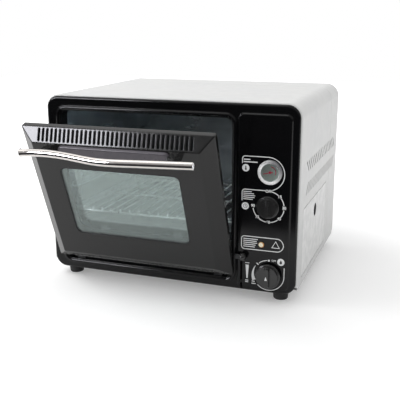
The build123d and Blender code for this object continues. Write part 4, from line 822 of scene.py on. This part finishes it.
FLOOR_X = (-3.0, 3.5)
FLOOR_Y = (-1.6, 4.0)
FLOOR_COLOR = (0.86, 0.86, 0.86, 1)
FLOOR_GLOW = (0.22, 0.75)  # added where the floor is seen, near the object and far from it
GLOW_REACH = (0.40, 1.1)  # distances from the object's middle that count as near and far
DARK_FLOOR = (0.03, 0.03, 0.033, 1)  # what a mirror shows of the floor in front
DARK_SHARE = (0.20, 1.0)  # how much it shows of that, by the object and in front
DARK_Y = (-0.46, -0.54)  # where the floor counts as by the object and as in front


def add_floor():
    """Pale floor that keeps the shadow and runs out into the white backdrop."""
    (x0, x1), (y0, y1) = FLOOR_X, FLOOR_Y
    data = bpy.data.meshes.new("floor")
    data.from_pydata([(x0, y0, 0), (x1, y0, 0), (x1, y1, 0), (x0, y1, 0)], [], [(0, 1, 2, 3)])
    floor = bpy.data.objects.new("floor", data)
    bpy.context.scene.collection.objects.link(floor)
    material = bpy.data.materials.new("floor")
    material.use_nodes = True
    tree = material.node_tree
    shader = tree.nodes["Principled BSDF"]
    values = {"Base Color": FLOOR_COLOR, "Roughness": 0.9, "Specular IOR Level": 0.0}
    for name, value in values.items():
        shader.inputs[name].default_value = value
    path, seen = seen_rays(tree)
    place = add_node(tree, "NewGeometry").outputs["Position"]
    # the shadow stays near the object, and the floor runs out to white beyond it
    away = add_node(tree, "VectorMath", place, operation="LENGTH").outputs["Value"]
    lit = calculate(tree, "MULTIPLY", seen, map_range(tree, away, *GLOW_REACH, *FLOOR_GLOW))
    glow = add_node(tree, "Emission", Strength=lit).outputs[0]
    pale = add_node(tree, "AddShader", shader.outputs[0], glow).outputs[0]
    # mirrored, the floor in front falls off into the dark studio
    forward = add_node(tree, "SeparateXYZ", place).outputs["Y"]
    fall = map_range(tree, forward, *DARK_Y, *DARK_SHARE)
    mirrored = calculate(tree, "MULTIPLY", path["Is Glossy Ray"], fall)
    dark = add_node(tree, "Emission", Color=DARK_FLOOR).outputs[0]
    mix = add_node(tree, "MixShader", mirrored, pale, dark).outputs[0]
    set_socket(tree, tree.nodes["Material Output"].inputs["Surface"], mix)
    data.materials.append(material)


AMBIENT = 0.76  # light of the world on matt surfaces
WHITE_Y = (0.0, 0.25)  # mirrored, the backdrop turns white as the way goes to the back
STUDIO_Z = (0.06, 0.45)  # and the studio in front grows less dark as it goes up
STUDIO = (0.04, 0.42)  # from this strength to this


def add_world():
    """White backdrop; mirrored, white behind the object and a dark studio in front of it."""
    world = bpy.data.worlds.new("studio")
    bpy.context.scene.world = world
    world.use_nodes = True
    tree = world.node_tree
    path, seen = seen_rays(tree)
    way = add_node(tree, "SeparateXYZ", add_node(tree, "TexCoord").outputs["Generated"]).outputs
    white = map_range(tree, way["Y"], *WHITE_Y, 0.0, 1.0)
    studio = map_range(tree, way["Z"], *STUDIO_Z, *STUDIO)
    mirrored = calculate(tree, "MAXIMUM", white, studio)
    backdrop = calculate(tree, "MAXIMUM", mirrored, path["Is Camera Ray"])
    strength = add_node(tree, "Mix", Factor=seen, A=AMBIENT, B=backdrop).outputs["Result"]
    background = tree.nodes["Background"]
    set_socket(tree, background.inputs["Strength"], strength)
    background.inputs["Color"].default_value = (1, 1, 1, 1)


LAMP_TARGET = Vector((0, 0, 0.16))


def add_lamp(name, azimuth, elevation, distance, size, radiance, color=(1, 1, 1)):
    """Area lamp aimed at the oven: azimuth 0 is in front and 90 to the right, in degrees."""
    a, e = radians(azimuth), radians(elevation)
    out = Vector((sin(a) * cos(e), -cos(a) * cos(e), sin(e)))
    data = bpy.data.lights.new(name, "AREA")
    data.shape = "RECTANGLE"
    data.size, data.size_y = size
    data.energy = radiance * size[0] * size[1] * pi
    data.color = color
    lamp = bpy.data.objects.new(name, data)
    bpy.context.scene.collection.objects.link(lamp)
    lamp.location = LAMP_TARGET + out * distance
    lamp.rotation_euler = (-out).to_track_quat("-Z", "Y").to_euler()
    lamp.visible_camera = False
    return lamp


def add_lamps():
    """Bright window for the reflections, and soft light from the left and above."""
    window = add_lamp(
        "window_left", azimuth=-39.4, elevation=18, distance=2.4, size=(1.1, 0.5), radiance=22.0,
        color=(0.94, 0.94, 1.0),
    )
    window.visible_diffuse = False
    fill = add_lamp(
        "fill_left", azimuth=-78, elevation=46, distance=2.4, size=(1.5, 1.3), radiance=3.8
    )
    fill.visible_glossy = False
    add_lamp("overhead", azimuth=-60, elevation=72, distance=2.2, size=(1.6, 1.6), radiance=1.0)


dress_nodes()
thermometer_print()
timer_print()
sight_print()
gas_print()
lever_print()
knob_marks()
thermometer_marks()
window_seal()
handle_plugs()
slot_end_shade()
rack_wire_ends()
add_camera()
add_floor()
add_world()
add_lamps()
bpy.context.scene.view_settings.view_transform = "Standard"
